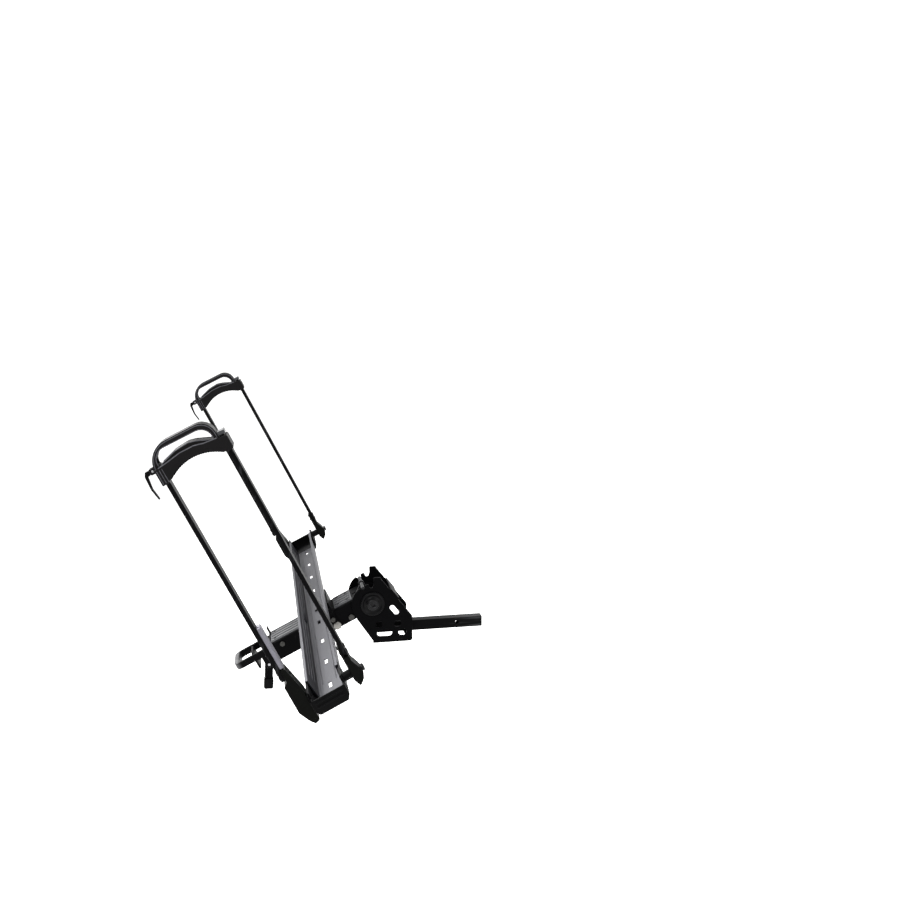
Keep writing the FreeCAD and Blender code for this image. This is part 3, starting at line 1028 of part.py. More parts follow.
def tray_end(label, side):
    """A moulded bucket that closes one end of the tray and carries its arm's axles."""
    piece = body(label, frame(u="-tray_behind", w="%d * arm_span / 2" % side, v="axle_rise"))

    def along(inner_place, outer_place):
        """A span along the tray from the middle outwards, on either side."""
        if side > 0:
            return (inner_place, outer_place)
        return ("-(%s)" % outer_place, "-(%s)" % inner_place)

    low, high = along("-end_in", "end_out")
    shell = [("-end_half + end_chamfer", "-end_low"), ("end_half - end_chamfer", "-end_low"),
             ("end_half", "-end_low + end_chamfer_high"), ("end_half", "end_top"), ("-end_half", "end_top"),
             ("-end_half", "-end_low + end_chamfer_high")]
    pad(piece, label + "_shell", "XZ", shell, low, high,
        rounds={0: "end_round", 1: "end_round", 3: "end_brim_round", 4: "end_brim_round"})
    low, high = along("-end_in - cut_past", "-tray_short + seat_gap")
    room = "tray_floor_half + seat_gap"
    tray_under = "tray_rise - axle_rise - press_gap"
    brim = "tray_rise + tray_high - axle_rise"
    tray_hole = [("-(%s)" % room, tray_under), (room, tray_under), ("tray_top_half + seat_gap", brim),
                 ("-tray_top_half - seat_gap", brim)]
    pad(piece, label + "_tray_room", "XZ", tray_hole, low, high, cut=True)
    low, high = along("-tray_short - tray_end_overlap", "end_out - end_wall")
    wall_in = "end_half - end_wall"
    slant_top = "end_wall + end_hollow_high - end_low"
    hollow = [("end_hollow_slant - (%s)" % wall_in, "tray_rise - axle_rise + tray_wall"),
              ("%s - end_hollow_slant" % wall_in, "tray_rise - axle_rise + tray_wall"),
              (wall_in, slant_top), (wall_in, "end_top + cut_past"),
              ("-(%s)" % wall_in, "end_top + cut_past"), ("-(%s)" % wall_in, slant_top)]
    pad(piece, label + "_hollow", "XZ", hollow, low, high, cut=True)
    low, high = along("end_out - end_dip", "end_out + cut_past")
    box(piece, label + "_front_dip", ("-end_half - cut_past", "end_half + cut_past"), (low, high),
        ("end_lip", "end_top + cut_past"), cut=True)
    for number in range(2):
        low, high = along("end_out", "end_out + end_ridge")
        rise = "%d * ridge_pitch - ridge_low" % number
        box(piece, "%s_ridge_%d" % (label, number), ("ridge_inset - end_half", "end_half - ridge_inset"),
            (low, high), (rise, "%s + ridge_high" % rise))
    rod(piece, label + "_outer_boss", "x", ("-outer_root_in + root_gap", "0", "0"), "boss_radius",
        "outer_root_in - end_half + end_wall - root_gap")
    rod(piece, label + "_inner_boss", "x", (wall_in, "0", "0"), "boss_radius",
        "inner_root_in - end_half + end_wall - root_gap")
    rod(piece, label + "_outer_bore", "x", ("-outer_root_in", "0", "0"), "axle_radius + press_gap",
        "outer_root_in - end_half + end_wall", cut=True)
    rod(piece, label + "_inner_bore", "x", (wall_in, "0", "0"), "axle_radius + press_gap",
        "inner_root_in - end_half + end_wall", cut=True)


tray_end("near_tray_end", -1)
tray_end("far_tray_end", 1)

# Arm axles: shoulder bolts through the arm roots into the tray ends.
axles = body("arm_axle_bolts", frame(u="-tray_behind", v="axle_rise"))
for number, side in enumerate((-1, 1)):
    across = "%d * arm_span / 2" % side
    outer_face = "axle_head_high - outer_root_out"
    rod(axles, "outer_axle_head_%d" % number, "x", ("-outer_root_out", across, "0"), "axle_head",
        "axle_head_high")
    rod(axles, "outer_axle_shank_%d" % number, "x", (outer_face, across, "0"), "axle_radius",
        "outer_root_out - axle_head_high - end_half + end_wall")
    rod(axles, "inner_axle_shank_%d" % number, "x", ("end_half - end_wall", across, "0"), "axle_radius",
        "inner_root_out + seat_gap - end_half + end_wall")
    rod(axles, "inner_axle_head_%d" % number, "x", ("inner_root_out + seat_gap", across, "0"), "axle_head",
        "axle_head_high")

# Wheel arms: two flat steel bars on cast roots at each tray end, tied by the hook that slides on them.
bar_in = "arm_bar_half - arm_bar_thick / 2"
bar_out = "arm_bar_half + arm_bar_thick / 2"
half_root = "root_wide / 2"
BOLTS_PER_BAR = 2


def root_casting(label, place, edge, rounds):
    """One cast root: an outline across the tray, as wide along the tray as root_wide."""
    casting = body(label, place)
    pad(casting, label + "_cast", "XZ", edge, "-" + half_root, half_root, rounds=rounds)
    return casting


def arm(side_name, side):
    """The roots, bars, stiffener, bolts and stop of one wheel arm."""
    place = frame(u="-tray_behind", w="%d * arm_span / 2" % side, v="axle_rise")

    bar_face = "press_gap - (%s)" % bar_in
    outer_neck = "outer_root_neck - (%s)" % bar_in
    edge = [(bar_face, "outer_root_top"), (bar_face, "outer_bar_start - bar_seat"),
            ("-outer_root_out", "outer_bar_start - outer_root_shoulder"),
            ("-outer_root_out", "-outer_root_waist"),
            ("outer_root_taper - outer_root_out", "outer_root_toe_high - outer_root_low"),
            ("-outer_root_in - outer_root_toe", "-outer_root_low"),
            ("-outer_root_in", "outer_root_heel - outer_root_low"), ("-outer_root_in", "outer_root_flare"),
            (outer_neck, "outer_root_top")]
    outer_root = root_casting(side_name + "_outer_root", place, edge,
                              {2: "cast_round", 3: "cast_round_big", 5: "cast_round", 6: "cast_round",
                               7: "cast_round_big", 8: "cast_round"})
    rod(outer_root, side_name + "_outer_root_bore", "x", ("-outer_root_out", "0", "0"),
        "axle_radius + running_gap", "outer_root_out", cut=True)
    rod(outer_root, side_name + "_outer_root_recess", "x", ("-outer_root_out", "0", "0"),
        "axle_head + seat_gap", "axle_head_high + seat_gap", cut=True)

    bar_face = "%s - press_gap" % bar_in
    edge = [("inner_root_in", "inner_root_top"), ("inner_root_in", "-inner_root_knee"),
            ("inner_root_in + inner_root_shin_out", "-inner_root_shin"),
            ("inner_root_in + inner_root_toe_out", "-inner_root_low"),
            ("inner_root_out - inner_root_heel_in", "-inner_root_heel"),
            ("inner_root_out", "-inner_root_elbow"),
            ("inner_root_out - inner_root_brow_in", "inner_root_brow"),
            ("%s + inner_root_neck_out" % bar_out, "inner_root_neck"),
            ("%s + inner_root_neck_out" % bar_out, "inner_bar_start - bar_seat"),
            (bar_face, "inner_bar_start - bar_seat"), (bar_face, "inner_root_top")]
    inner_root = root_casting(side_name + "_inner_root", place, edge,
                              {3: "cast_round_small", 4: "cast_round", 5: "cast_round", 6: "cast_round",
                               7: "cast_round_small"})
    rod(inner_root, side_name + "_inner_root_bore", "x", ("0", "0", "0"), "axle_radius + running_gap",
        "inner_root_out + cut_past", cut=True)

    bars = []
    for name, start, low, high in (("_outer_bar", "outer_bar_start", "-(%s)" % bar_out, "-(%s)" % bar_in),
                                   ("_inner_bar", "inner_bar_start", bar_in, bar_out)):
        bar = body(side_name + name, place)
        flat = [("-arm_bar_wide / 2", start), ("arm_bar_wide / 2", start),
                ("arm_bar_wide / 2", "arm_bar_end"), ("-arm_bar_wide / 2", "arm_bar_end")]
        pad(bar, bar.Label + "_flat", "YZ", flat, low, high,
            rounds={0: "bar_foot_round", 1: "bar_foot_round", 2: "bar_top_round", 3: "bar_top_round"})
        bars.append(bar)

    splint = body(side_name + "_bar_stiffener", place)
    half_splint = "arm_bar_wide / 2 - splint_inset"
    splint_foot = "outer_root_top + seat_gap"
    splint_head = "outer_root_top + splint_long"
    strip = [("-(%s)" % half_splint, splint_foot), (half_splint, splint_foot), (half_splint, splint_head),
             ("-(%s)" % half_splint, splint_head)]
    pad(splint, side_name + "_stiffener_strip", "YZ", strip, "-(%s)" % bar_in,
        "splint_thick - (%s)" % bar_in, rounds={2: "splint_round", 3: "splint_round"})

    bolts = body(side_name + "_arm_bolts", place)
    for number in range(BOLTS_PER_BAR):
        up_outer = "outer_bar_start + rivet_first + %d * rivet_pitch" % number
        up_inner = "inner_bar_start + rivet_first + %d * rivet_pitch" % number
        rod(bolts, "%s_outer_bolt_head_%d" % (side_name, number), "x",
            ("-(%s) - rivet_head_high" % bar_out, "0", up_outer), "rivet_head", "rivet_head_high")
        rod(bolts, "%s_outer_bolt_shank_%d" % (side_name, number), "x",
            ("-(%s) - join" % bar_out, "0", up_outer), "rivet_radius",
            "arm_bar_thick + outer_root_neck + join")
        rod(bolts, "%s_inner_bolt_head_%d" % (side_name, number), "x", (bar_out, "0", up_inner),
            "rivet_head", "rivet_head_high")
        rod(bolts, "%s_inner_bolt_shank_%d" % (side_name, number), "x", ("inner_root_in", "0", up_inner),
            "rivet_radius", "%s - inner_root_in + join" % bar_out)
        for piece, start, up in (
                (outer_root, "-outer_root_out", up_outer), (bars[0], "-outer_root_out", up_outer),
                (inner_root, "0", up_inner), (bars[1], "0", up_inner)):
            rod(piece, "%s_hole_%d" % (piece.Label, number), "x", (start, "0", up),
                "rivet_radius + press_gap", "outer_root_out", cut=True)

    stop = body(side_name + "_bar_stop", place)
    half_stop = "arm_bar_wide / 2 + stop_side"
    box(stop, side_name + "_stop_cap", ("%s - stop_in" % bar_in, "%s + stop_out" % bar_out),
        ("-(%s)" % half_stop, half_stop),
        ("arm_bar_end - stop_seat", "arm_bar_end + stop_high - stop_seat"))
    clear = "arm_bar_wide / 2 + press_gap"
    box(stop, side_name + "_stop_room", ("%s - press_gap" % bar_in, "%s + press_gap" % bar_out),
        ("-(%s)" % clear, clear), ("arm_bar_end - stop_seat - cut_past", "arm_bar_end"), cut=True)


def hook(side_name, side):
    """The moulded tyre holder of one arm, with its liner, release lever and lever pin."""
    place = frame(u="-tray_behind", w="%d * arm_span / 2" % side, v="axle_rise + hook_at")
    holder = body(side_name + "_hook", place)
    edge = [("-hook_half", "-cradle_end - hook_skirt"), ("-hook_half", "hoop_top"),
            ("hoop_right", "hoop_top"), ("hoop_right", "column_top"), ("hook_half", "column_top"),
            ("hook_half", "hook_skirt - cradle_end"), ("hook_half - column_thick", "-cradle_end"),
            ("column_thick - hook_half", "-cradle_end - hook_skirt")]
    pad(holder, side_name + "_hook_stock", "XZ", edge, "-hook_deep / 2", "hook_deep / 2",
        rounds={1: "hoop_round_left", 2: "hoop_round_right", 4: "hook_round", 5: "hook_round"})
    window_foot = "cradle_end - crown_slope"
    window_top = "hoop_top - hoop_band"
    window = [("-window_left", window_foot), ("-crown_left", "cradle_crown - crown_slope"),
              ("crown_middle", "cradle_crown"), ("crown_right", "cradle_crown - crown_fall"),
              ("crown_end", window_foot), ("hoop_right - hoop_leg", window_foot),
              ("hoop_right - hoop_leg", window_top), ("window_slant - window_left", window_top),
              ("-window_left", "%s - window_slant" % window_top)]
    pad(holder, side_name + "_hook_gap", "XZ", window, "-hook_deep / 2", "hook_deep / 2", cut=True,
        rounds={0: "window_round", 1: "crown_round", 2: "crown_round", 3: "crown_round",
                6: "hoop_inner_right", 7: "hoop_inner_left", 8: "hoop_inner_left"})
    # Above its ledges the hook is only as deep as the hoop.
    left, right, above = "-hook_half - cut_past", "hook_half + cut_past", "hoop_top + cut_past"
    ledge = [(left, "ledge_foot"), ("-ledge_left", "ledge_foot + ledge_left_rise"),
             ("-ledge_crown_left", "ledge_crown"), ("ledge_crown_right", "ledge_crown"),
             ("ledge_right", "ledge_foot + ledge_right_rise"), (right, "ledge_foot"), (right, above),
             (left, above)]
    for number, low in enumerate(("-hook_deep / 2", "hoop_deep / 2")):
        pad(holder, "%s_ledge_%d" % (side_name, number), "XZ", ledge, low,
            "%s + (hook_deep - hoop_deep) / 2" % low, cut=True,
            rounds={corner: "ledge_round" for corner in (2, 3, 4)})
    rod(holder, side_name + "_hook_arch", "y", ("0", "-hook_deep / 2", "cradle_arch - tyre_radius"),
        "tyre_radius + pad_thick", "hook_deep", cut=True)
    for number, middle in enumerate(("-arm_bar_half", "arm_bar_half")):
        half_slot_x = "arm_bar_thick / 2 + seat_gap"
        half_slot_y = "arm_bar_wide / 2 + seat_gap"
        box(holder, "%s_hook_slot_%d" % (side_name, number),
            ("%s - (%s)" % (middle, half_slot_x), "%s + %s" % (middle, half_slot_x)),
            ("-(%s)" % half_slot_y, half_slot_y),
            ("-cradle_end - hook_skirt - cut_past", "hoop_top + cut_past"), cut=True)
    for number, side_sign in enumerate((-1, 1)):
        span = ("lever_wide / 2 + seat_gap", "lever_wide / 2 + seat_gap + lever_ear")
        if side_sign < 0:
            span = ("-(%s)" % span[1], "-(%s)" % span[0])
        box(holder, "%s_hook_ear_%d" % (side_name, number),
            ("-lever_pin_out - ear_nose", "join - hook_half"), span,
            ("lever_pin_rise - ear_half_high", "lever_pin_rise + ear_half_high"))
    box(holder, side_name + "_pawl_window", ("-hook_half - cut_past", "-(%s) - seat_gap" % bar_out),
        ("-lever_wide / 2 - seat_gap", "lever_wide / 2 + seat_gap"),
        ("lever_pin_rise - pawl_window_low", "lever_pin_rise + pawl_window_high"), cut=True)
    rod(holder, side_name + "_ear_hole", "y", ("-lever_pin_out", "-lever_wide", "lever_pin_rise"),
        "lever_pin_radius + press_gap", "2 * lever_wide", cut=True)

    liner = body(side_name + "_hook_liner", place)
    arch_middle = "cradle_arch - tyre_radius"
    rod(liner, side_name + "_liner_arch", "y", ("0", "liner_inset - hook_deep / 2", arch_middle),
        "tyre_radius + pad_thick - press_gap", "hook_deep - 2 * liner_inset")
    rod(liner, side_name + "_liner_bore", "y", ("0", "-hook_deep", arch_middle), "tyre_radius",
        "2 * hook_deep", cut=True)
    far_below = "-3 * tyre_radius"
    box(liner, side_name + "_liner_trim", (far_below, "3 * tyre_radius"), ("-hook_deep", "hook_deep"),
        (far_below, "liner_end - cradle_end"), cut=True)

    lever = body(side_name + "_hook_lever", place)
    nose = "-(%s) - pawl_gap" % bar_out
    edge = [(nose, "lever_pin_rise"), (nose, "lever_pin_rise + lever_nose"),
            ("lever_brow_in - lever_reach", "lever_pin_rise + lever_brow"),
            ("lever_belly_out - lever_reach", "lever_pin_rise - lever_bend"),
            ("-lever_reach - lever_belly_out", "-lever_belly"),
            ("lever_tip_out - lever_reach", "-lever_drop"),
            ("lever_tip_out + lever_tip_wide - lever_reach", "-lever_drop"),
            ("lever_tip_wide - lever_reach", "-lever_belly"),
            ("lever_throat - lever_reach", "lever_pin_rise - lever_throat"),
            ("-lever_pin_out - lever_hub_low", "lever_pin_rise - lever_hub_low"),
            ("-lever_pin_out", "lever_pin_rise - lever_hub_low")]
    pad(lever, side_name + "_lever_blade", "XZ", edge, "-lever_wide / 2", "lever_wide / 2",
        rounds={2: "lever_back_round", 4: "lever_blade_round", 7: "lever_blade_inner"})
    rod(lever, side_name + "_lever_bore", "y", ("-lever_pin_out", "-lever_wide", "lever_pin_rise"),
        "lever_pin_radius + running_gap", "2 * lever_wide", cut=True)

    pin = body(side_name + "_lever_pin", place)
    half_pin = "lever_wide / 2 + seat_gap + lever_ear"
    rod(pin, side_name + "_pin_bar", "y", ("-lever_pin_out", "-(%s)" % half_pin, "lever_pin_rise"),
        "lever_pin_radius", "2 * (%s)" % half_pin)


for side_name, side in (("near", -1), ("far", 1)):
    arm(side_name, side)
    hook(side_name, side)

doc.recompute()

failed = [item.Name for item in doc.Objects if "Invalid" in item.State or "Error" in item.State]
if failed:
    raise RuntimeError("these objects failed: " + ", ".join(failed))
bodies = [item for item in doc.Objects if item.isDerivedFrom("PartDesign::Body")]
for piece in bodies:
    if piece.Shape.isNull() or not piece.Shape.isValid():
        raise RuntimeError(piece.Label + " has no valid shape")

os.makedirs("parts", exist_ok=True)
for piece in bodies:
    piece.Shape.exportStep("parts/" + piece.Label + ".step")
print("%d sub-parts written" % len(bodies))
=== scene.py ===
import json
import math

import bmesh
import bpy
from mathutils import Matrix, Vector

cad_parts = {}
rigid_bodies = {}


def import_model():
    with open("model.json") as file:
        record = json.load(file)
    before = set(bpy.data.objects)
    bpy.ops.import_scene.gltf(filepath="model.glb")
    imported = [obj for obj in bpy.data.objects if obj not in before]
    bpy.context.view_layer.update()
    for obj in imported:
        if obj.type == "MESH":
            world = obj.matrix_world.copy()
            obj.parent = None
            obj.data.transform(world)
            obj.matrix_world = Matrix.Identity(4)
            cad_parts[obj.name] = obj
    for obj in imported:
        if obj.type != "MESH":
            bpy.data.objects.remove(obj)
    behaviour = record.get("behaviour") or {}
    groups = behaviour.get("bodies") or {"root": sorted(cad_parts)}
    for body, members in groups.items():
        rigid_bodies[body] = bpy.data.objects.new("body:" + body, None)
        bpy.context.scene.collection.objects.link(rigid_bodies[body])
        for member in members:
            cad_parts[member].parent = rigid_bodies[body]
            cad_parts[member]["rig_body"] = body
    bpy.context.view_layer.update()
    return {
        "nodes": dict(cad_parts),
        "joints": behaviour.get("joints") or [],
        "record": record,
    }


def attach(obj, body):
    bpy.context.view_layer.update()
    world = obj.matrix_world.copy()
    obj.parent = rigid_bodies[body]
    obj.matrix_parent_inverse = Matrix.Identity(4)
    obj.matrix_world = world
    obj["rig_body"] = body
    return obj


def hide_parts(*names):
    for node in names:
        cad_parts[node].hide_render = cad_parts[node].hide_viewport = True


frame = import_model()

# Viewpoint: the rack seen from standing height, 2.8 m off the near end of its tray. Places are measured from
# the tilt hinge: along the spine towards the drawbar, along the tray away from the viewpoint, and square to
# the spine upwards, all in millimetres.
MM = 0.001
VIEW_FROM_HINGE = (-292.9, -2789.6, 889.8)
VIEW_TILT, VIEW_TURN = 80.949, -10.859
LENS, SENSOR = 38.92, 36.0
joints = {joint["name"]: joint for joint in frame["joints"]}
hinge = Vector(joints["spine_tilt"]["pos_m"])
spine_way = -Vector(joints["trigger_pull"]["axis"])
square_way = Vector(joints["latch_lift"]["axis"])
tray_way = Vector((0, 1, 0))


def directions(first, second, third):
    """A frame of three directions about the hinge, as a matrix."""
    return Matrix.Translation(hinge) @ Matrix((first, second, third)).transposed().to_4x4()


level = directions(Vector((1, 0, 0)), tray_way, Vector((0, 0, 1)))
tilted = directions(spine_way, tray_way, square_way)

camera = bpy.data.cameras.new("viewpoint")
camera.sensor_width = SENSOR
camera.lens = LENS
camera_object = bpy.data.objects.new("viewpoint", camera)
camera_object.location = hinge + Vector(VIEW_FROM_HINGE) * MM
camera_object.rotation_euler = (math.radians(VIEW_TILT), 0, math.radians(VIEW_TURN))
bpy.context.scene.collection.objects.link(camera_object)
bpy.context.scene.camera = camera_object
bpy.context.scene.view_settings.view_transform = "Standard"


# Studio: a pale seamless floor that curves up behind the rack, under four large soft lamps and an even sky.
# The floor lies at ground height below the drawbar, and keeps the rack's soft shadow.
def linear(colour):
    """An sRGB hex colour as linear RGBA."""
    parts = [int(colour[start:start + 2], 16) / 255 for start in (0, 2, 4)]
    return [part / 12.92 if part <= 0.04045 else ((part + 0.055) / 1.055) ** 2.4 for part in parts] + [1.0]


def wire(tree, node, sockets):
    """Give a shader node's sockets their values, or their links from other nodes."""
    for name, value in sockets.items():
        if isinstance(value, bpy.types.NodeSocket):
            tree.links.new(value, node.inputs[name])
        else:
            node.inputs[name].default_value = value


def add(tree, kind, sockets=None, **settings):
    """Add a shader node with its settings, values and links."""
    made = tree.nodes.new(kind)
    for name, value in settings.items():
        setattr(made, name, value)
    wire(tree, made, sockets or {})
    return made


def new_finish(name):
    """A new material with its node tree, shader and the piece's own coordinates."""
    finish = bpy.data.materials.new(name)
    finish.use_nodes = True
    tree = finish.node_tree
    where = add(tree, "ShaderNodeTexCoord").outputs["Object"]
    return finish, tree, tree.nodes["Principled BSDF"], where


def seen_white(tree, as_light, as_seen):
    """A strength for the light that a surface gives, and one for how the eye and reflections see it."""
    rays = add(tree, "ShaderNodeLightPath").outputs
    seen = add(tree, "ShaderNodeMath", {0: rays["Is Camera Ray"], 1: rays["Is Glossy Ray"]},
               operation="MAXIMUM")
    seen = add(tree, "ShaderNodeMath", {0: seen.outputs["Value"], 1: rays["Is Transmission Ray"]},
               operation="MAXIMUM")
    strength = add(tree, "ShaderNodeMapRange", {"Value": seen.outputs["Value"], "To Min": as_light,
                                                "To Max": as_seen})
    return strength.outputs["Result"]


FLOOR_BELOW, FLOOR_FRONT = 430, -7000
SWEEP_START, SWEEP_RADIUS, SWEEP_TOP, SWEEP_HALF, SWEEP_STEPS = 3200, 1500, 5000, 9000, 24
section = [(FLOOR_FRONT, 0), (SWEEP_START, 0)]
for step in range(1, SWEEP_STEPS + 1):
    turn = math.pi / 2 * step / SWEEP_STEPS
    section.append((SWEEP_START + SWEEP_RADIUS * math.sin(turn), SWEEP_RADIUS * (1 - math.cos(turn))))
section.append((SWEEP_START + SWEEP_RADIUS, SWEEP_TOP))
corners = [(x * MM, y * MM, (z - FLOOR_BELOW) * MM) for y, z in section for x in (-SWEEP_HALF, SWEEP_HALF)]
faces = [(2 * i, 2 * i + 1, 2 * i + 3, 2 * i + 2) for i in range(len(section) - 1)]
sweep_mesh = bpy.data.meshes.new("studio_sweep")
sweep_mesh.from_pydata(corners, [], faces)
for face in sweep_mesh.polygons:
    face.use_smooth = True
sweep = bpy.data.objects.new("studio_sweep", sweep_mesh)
bpy.context.scene.collection.objects.link(sweep)
# Matt paper has no sheen of its own, so it stays one even white behind the rack.
paper, tree, shader, where = new_finish("matt_studio_paper")
wire(tree, shader, {"Base Color": linear("f4f4f3"), "Roughness": 0.9, "Specular IOR Level": 0.0,
                    "Emission Color": linear("ffffff"), "Emission Strength": seen_white(tree, 0.0, 0.75)})
sweep_mesh.materials.append(paper)

# Each lamp's place from the pin hole, its width and its watts.
LAMPS = (("key_softbox", (-1500, -1700, 2300), 1500, 46),
         ("rim_softbox", (900, 1900, 1900), 1300, 60),
         ("fill_softbox", (1500, -2300, 900), 1400, 16),
         ("back_softbox", (-1900, 1500, 1300), 1400, 60))
for name, at, across, watts in LAMPS:
    lamp = bpy.data.lights.new(name, "AREA")
    lamp.shape = "SQUARE"
    lamp.size = across * MM
    lamp.energy = watts
    lamp_object = bpy.data.objects.new(name, lamp)
    lamp_object.location = Vector(at) * MM
    lamp_object.rotation_euler = (hinge - lamp_object.location).to_track_quat("-Z", "Y").to_euler()
    bpy.context.scene.collection.objects.link(lamp_object)
sky = bpy.data.worlds.new("even_sky")
sky.use_nodes = True
tree = sky.node_tree
wire(tree, tree.nodes["Background"], {"Color": linear("ffffff"), "Strength": seen_white(tree, 0.26, 1.0)})
bpy.context.scene.world = sky

# Drawbar: a square steel tube, powder coated black, whose welded end sits in the bracket's webs. It slides in
# its mount, so its front stretch is scored.
slot_of = {part["node"]: part["material_slot"] for part in frame["record"]["subparts"]}
# Faces that meet at more than this angle, in degrees, keep a sharp edge between them.
CREASE = 32


def fasten(piece, finish, body, slot_name, *replaced):
    """Give a piece its finish and body, and hide the CAD pieces that it stands for; its record slot is not
    used.
    """
    piece.data.materials.clear()
    piece.data.materials.append(finish)
    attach(piece, body)
    if replaced:
        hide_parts(*replaced)
    return piece


def finished(name, shape, crease=CREASE):
    """An object from a shape, smooth but for the edges that turn by more than the crease angle."""
    bmesh.ops.recalc_face_normals(shape, faces=shape.faces)
    mesh = bpy.data.meshes.new(name)
    shape.to_mesh(mesh)
    shape.free()
    for face in mesh.polygons:
        face.use_smooth = True
    mesh.set_sharp_from_angle(angle=math.radians(crease))
    made = bpy.data.objects.new(name, mesh)
    bpy.context.scene.collection.objects.link(made)
    return made


def softened(node, width, finish, segments=2):
    """A CAD piece with its edges broken by width, in mm, as pressing, casting or grinding leaves them."""
    source = frame["nodes"][node]
    shape = bmesh.new()
    shape.from_mesh(source.data)
    # Flat faces are joined first, so that only the piece's real edges are broken.
    bmesh.ops.remove_doubles(shape, verts=shape.verts, dist=0.01 * MM)
    bmesh.ops.dissolve_limit(shape, angle_limit=math.radians(1), verts=shape.verts, edges=shape.edges)
    piece = finished(node + "_shape", shape)
    broken = piece.modifiers.new("broken_edges", "BEVEL")
    broken.width = width * MM
    broken.segments = segments
    broken.limit_method = "ANGLE"
    broken.angle_limit = math.radians(CREASE)
    broken.use_clamp_overlap = False
    broken.loop_slide = False
    return fasten(piece, finish, source["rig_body"], slot_of[node], node)


def per_metre(*sizes):
    """How often patterns of these sizes in mm repeat in a metre."""
    return [1 / (size * MM) for size in sizes]


def orange_peel(tree, where, grain=2.5, depth=0.05):
    """The faint ripple of a baked coat, as a normal: grain and depth in mm."""
    ripple = add(tree, "ShaderNodeTexNoise", {"Vector": where, "Scale": 1 / (grain * MM), "Detail": 2.0})
    bump = add(tree, "ShaderNodeBump", {"Height": ripple.outputs["Fac"], "Distance": depth * MM})
    return bump.outputs["Normal"]


# The edge mask, for wear and for painted edge highlight, starts where a rounded edge's normal parts
# from the face's by 14 degrees, and is full at 37: cosines.
EDGE_MASK_FROM, EDGE_MASK_FULL = 0.97, 0.8


def worn_and_highlit_edges(tree, reach):
    """A mask of the outer edges, where use and grit thin the surface and a painted highlight lies: reach in
    mm.
    """
    rounded = add(tree, "ShaderNodeBevel", {"Radius": reach * MM}, samples=4)
    plain = add(tree, "ShaderNodeNewGeometry")
    match = add(tree, "ShaderNodeVectorMath", {0: rounded.outputs["Normal"], 1: plain.outputs["Normal"]},
                operation="DOT_PRODUCT")
    mask = add(tree, "ShaderNodeMapRange", {"Value": match.outputs["Value"], "From Min": EDGE_MASK_FROM,
                                            "From Max": EDGE_MASK_FULL})
    return mask.outputs["Result"]


# The mixing node's two colours and its result go by number, because several of its sockets share a name.
DARK, PALE, MIXED = 6, 7, 2
SCORED_FROM, SCORED_FULL = -30, 50
SCORE_LONG, SCORE_WIDE = 167, 3.125
# Satin powder coat, scored along its length where it slides: thin bright lines down to grey steel, ahead of
# the pin hole only.
scored_coat, tree, shader, where = new_finish("slide_scored_powder_coat")
along = add(tree, "ShaderNodeMapping", {"Vector": where,
                                        "Scale": per_metre(SCORE_LONG, SCORE_WIDE, SCORE_WIDE)})
scores = add(tree, "ShaderNodeTexNoise", {"Vector": along.outputs["Vector"], "Scale": 1.0, "Detail": 6.0})
split = add(tree, "ShaderNodeSeparateXYZ", {"Vector": where})
ahead = add(tree, "ShaderNodeMapRange", {"Value": split.outputs["X"], "From Min": SCORED_FROM * MM,
                                         "From Max": SCORED_FULL * MM})
sharp = add(tree, "ShaderNodeMapRange", {"Value": scores.outputs["Fac"], "From Min": 0.5, "From Max": 0.72})
paler_share = add(tree, "ShaderNodeMath", {0: sharp.outputs["Result"], 1: ahead.outputs["Result"]},
             operation="MULTIPLY")
colour = add(tree, "ShaderNodeMix", {
    "Factor": paler_share.outputs["Value"], DARK: linear("0a0a0b"), PALE: linear("4a4b4d")}, data_type="RGBA")
bare = add(tree, "ShaderNodeMath", {0: paler_share.outputs["Value"], 1: 0.7}, operation="MULTIPLY")
wire(tree, shader, {"Base Color": colour.outputs[MIXED], "Metallic": bare.outputs["Value"], "Roughness": 0.42,
                    "IOR": 1.5, "Specular IOR Level": 0.03, "Normal": orange_peel(tree, where)})
softened("drawbar", 0.6, scored_coat)

# Drawbar plug: moulded in glass-filled nylon and pressed into the tube's front end. The spark-eroded grain of
# its mould, 0.9 mm, gives it a dull, even sheen. Its edges are painted a little grey in broad patches, for
# wear and as a painted edge highlight.
moulded_nylon, tree, shader, where = new_finish("grained_black_nylon")
grain = add(tree, "ShaderNodeTexNoise", {"Vector": where, "Scale": 1 / (0.9 * MM), "Detail": 3.0})
pits = add(tree, "ShaderNodeBump", {"Height": grain.outputs["Fac"], "Distance": 0.06 * MM, "Strength": 0.7})
patches = add(tree, "ShaderNodeTexNoise", {"Vector": where, "Scale": 1 / (35 * MM), "Detail": 3.0})
edge_wear_and_highlight = add(tree, "ShaderNodeMath", {0: worn_and_highlit_edges(tree, 1.6), 1: patches.outputs["Fac"]},
           operation="MULTIPLY")
colour = add(tree, "ShaderNodeMix", {
    "Factor": edge_wear_and_highlight.outputs["Value"], DARK: linear("070708"), PALE: linear("303135")}, data_type="RGBA")
wire(tree, shader, {"Base Color": colour.outputs[MIXED], "Roughness": 0.46, "IOR": 1.53,
                    "Specular IOR Level": 0.05, "Normal": pits.outputs["Normal"]})
softened("drawbar_plug", 1.2, moulded_nylon)

# Bracket: two flame-cut side plates, two webs that the drawbar is welded into, an open floor and a strip
# across the sloping edges. It is welded first and coated whole, so the beads carry the same coat.
WELD, WELD_PITCH, WELD_RIPPLE = 2.6, 3.2, 0.14
# Round beads and ribs stay smooth up to this angle, in degrees.
ROUND_CREASE = 80
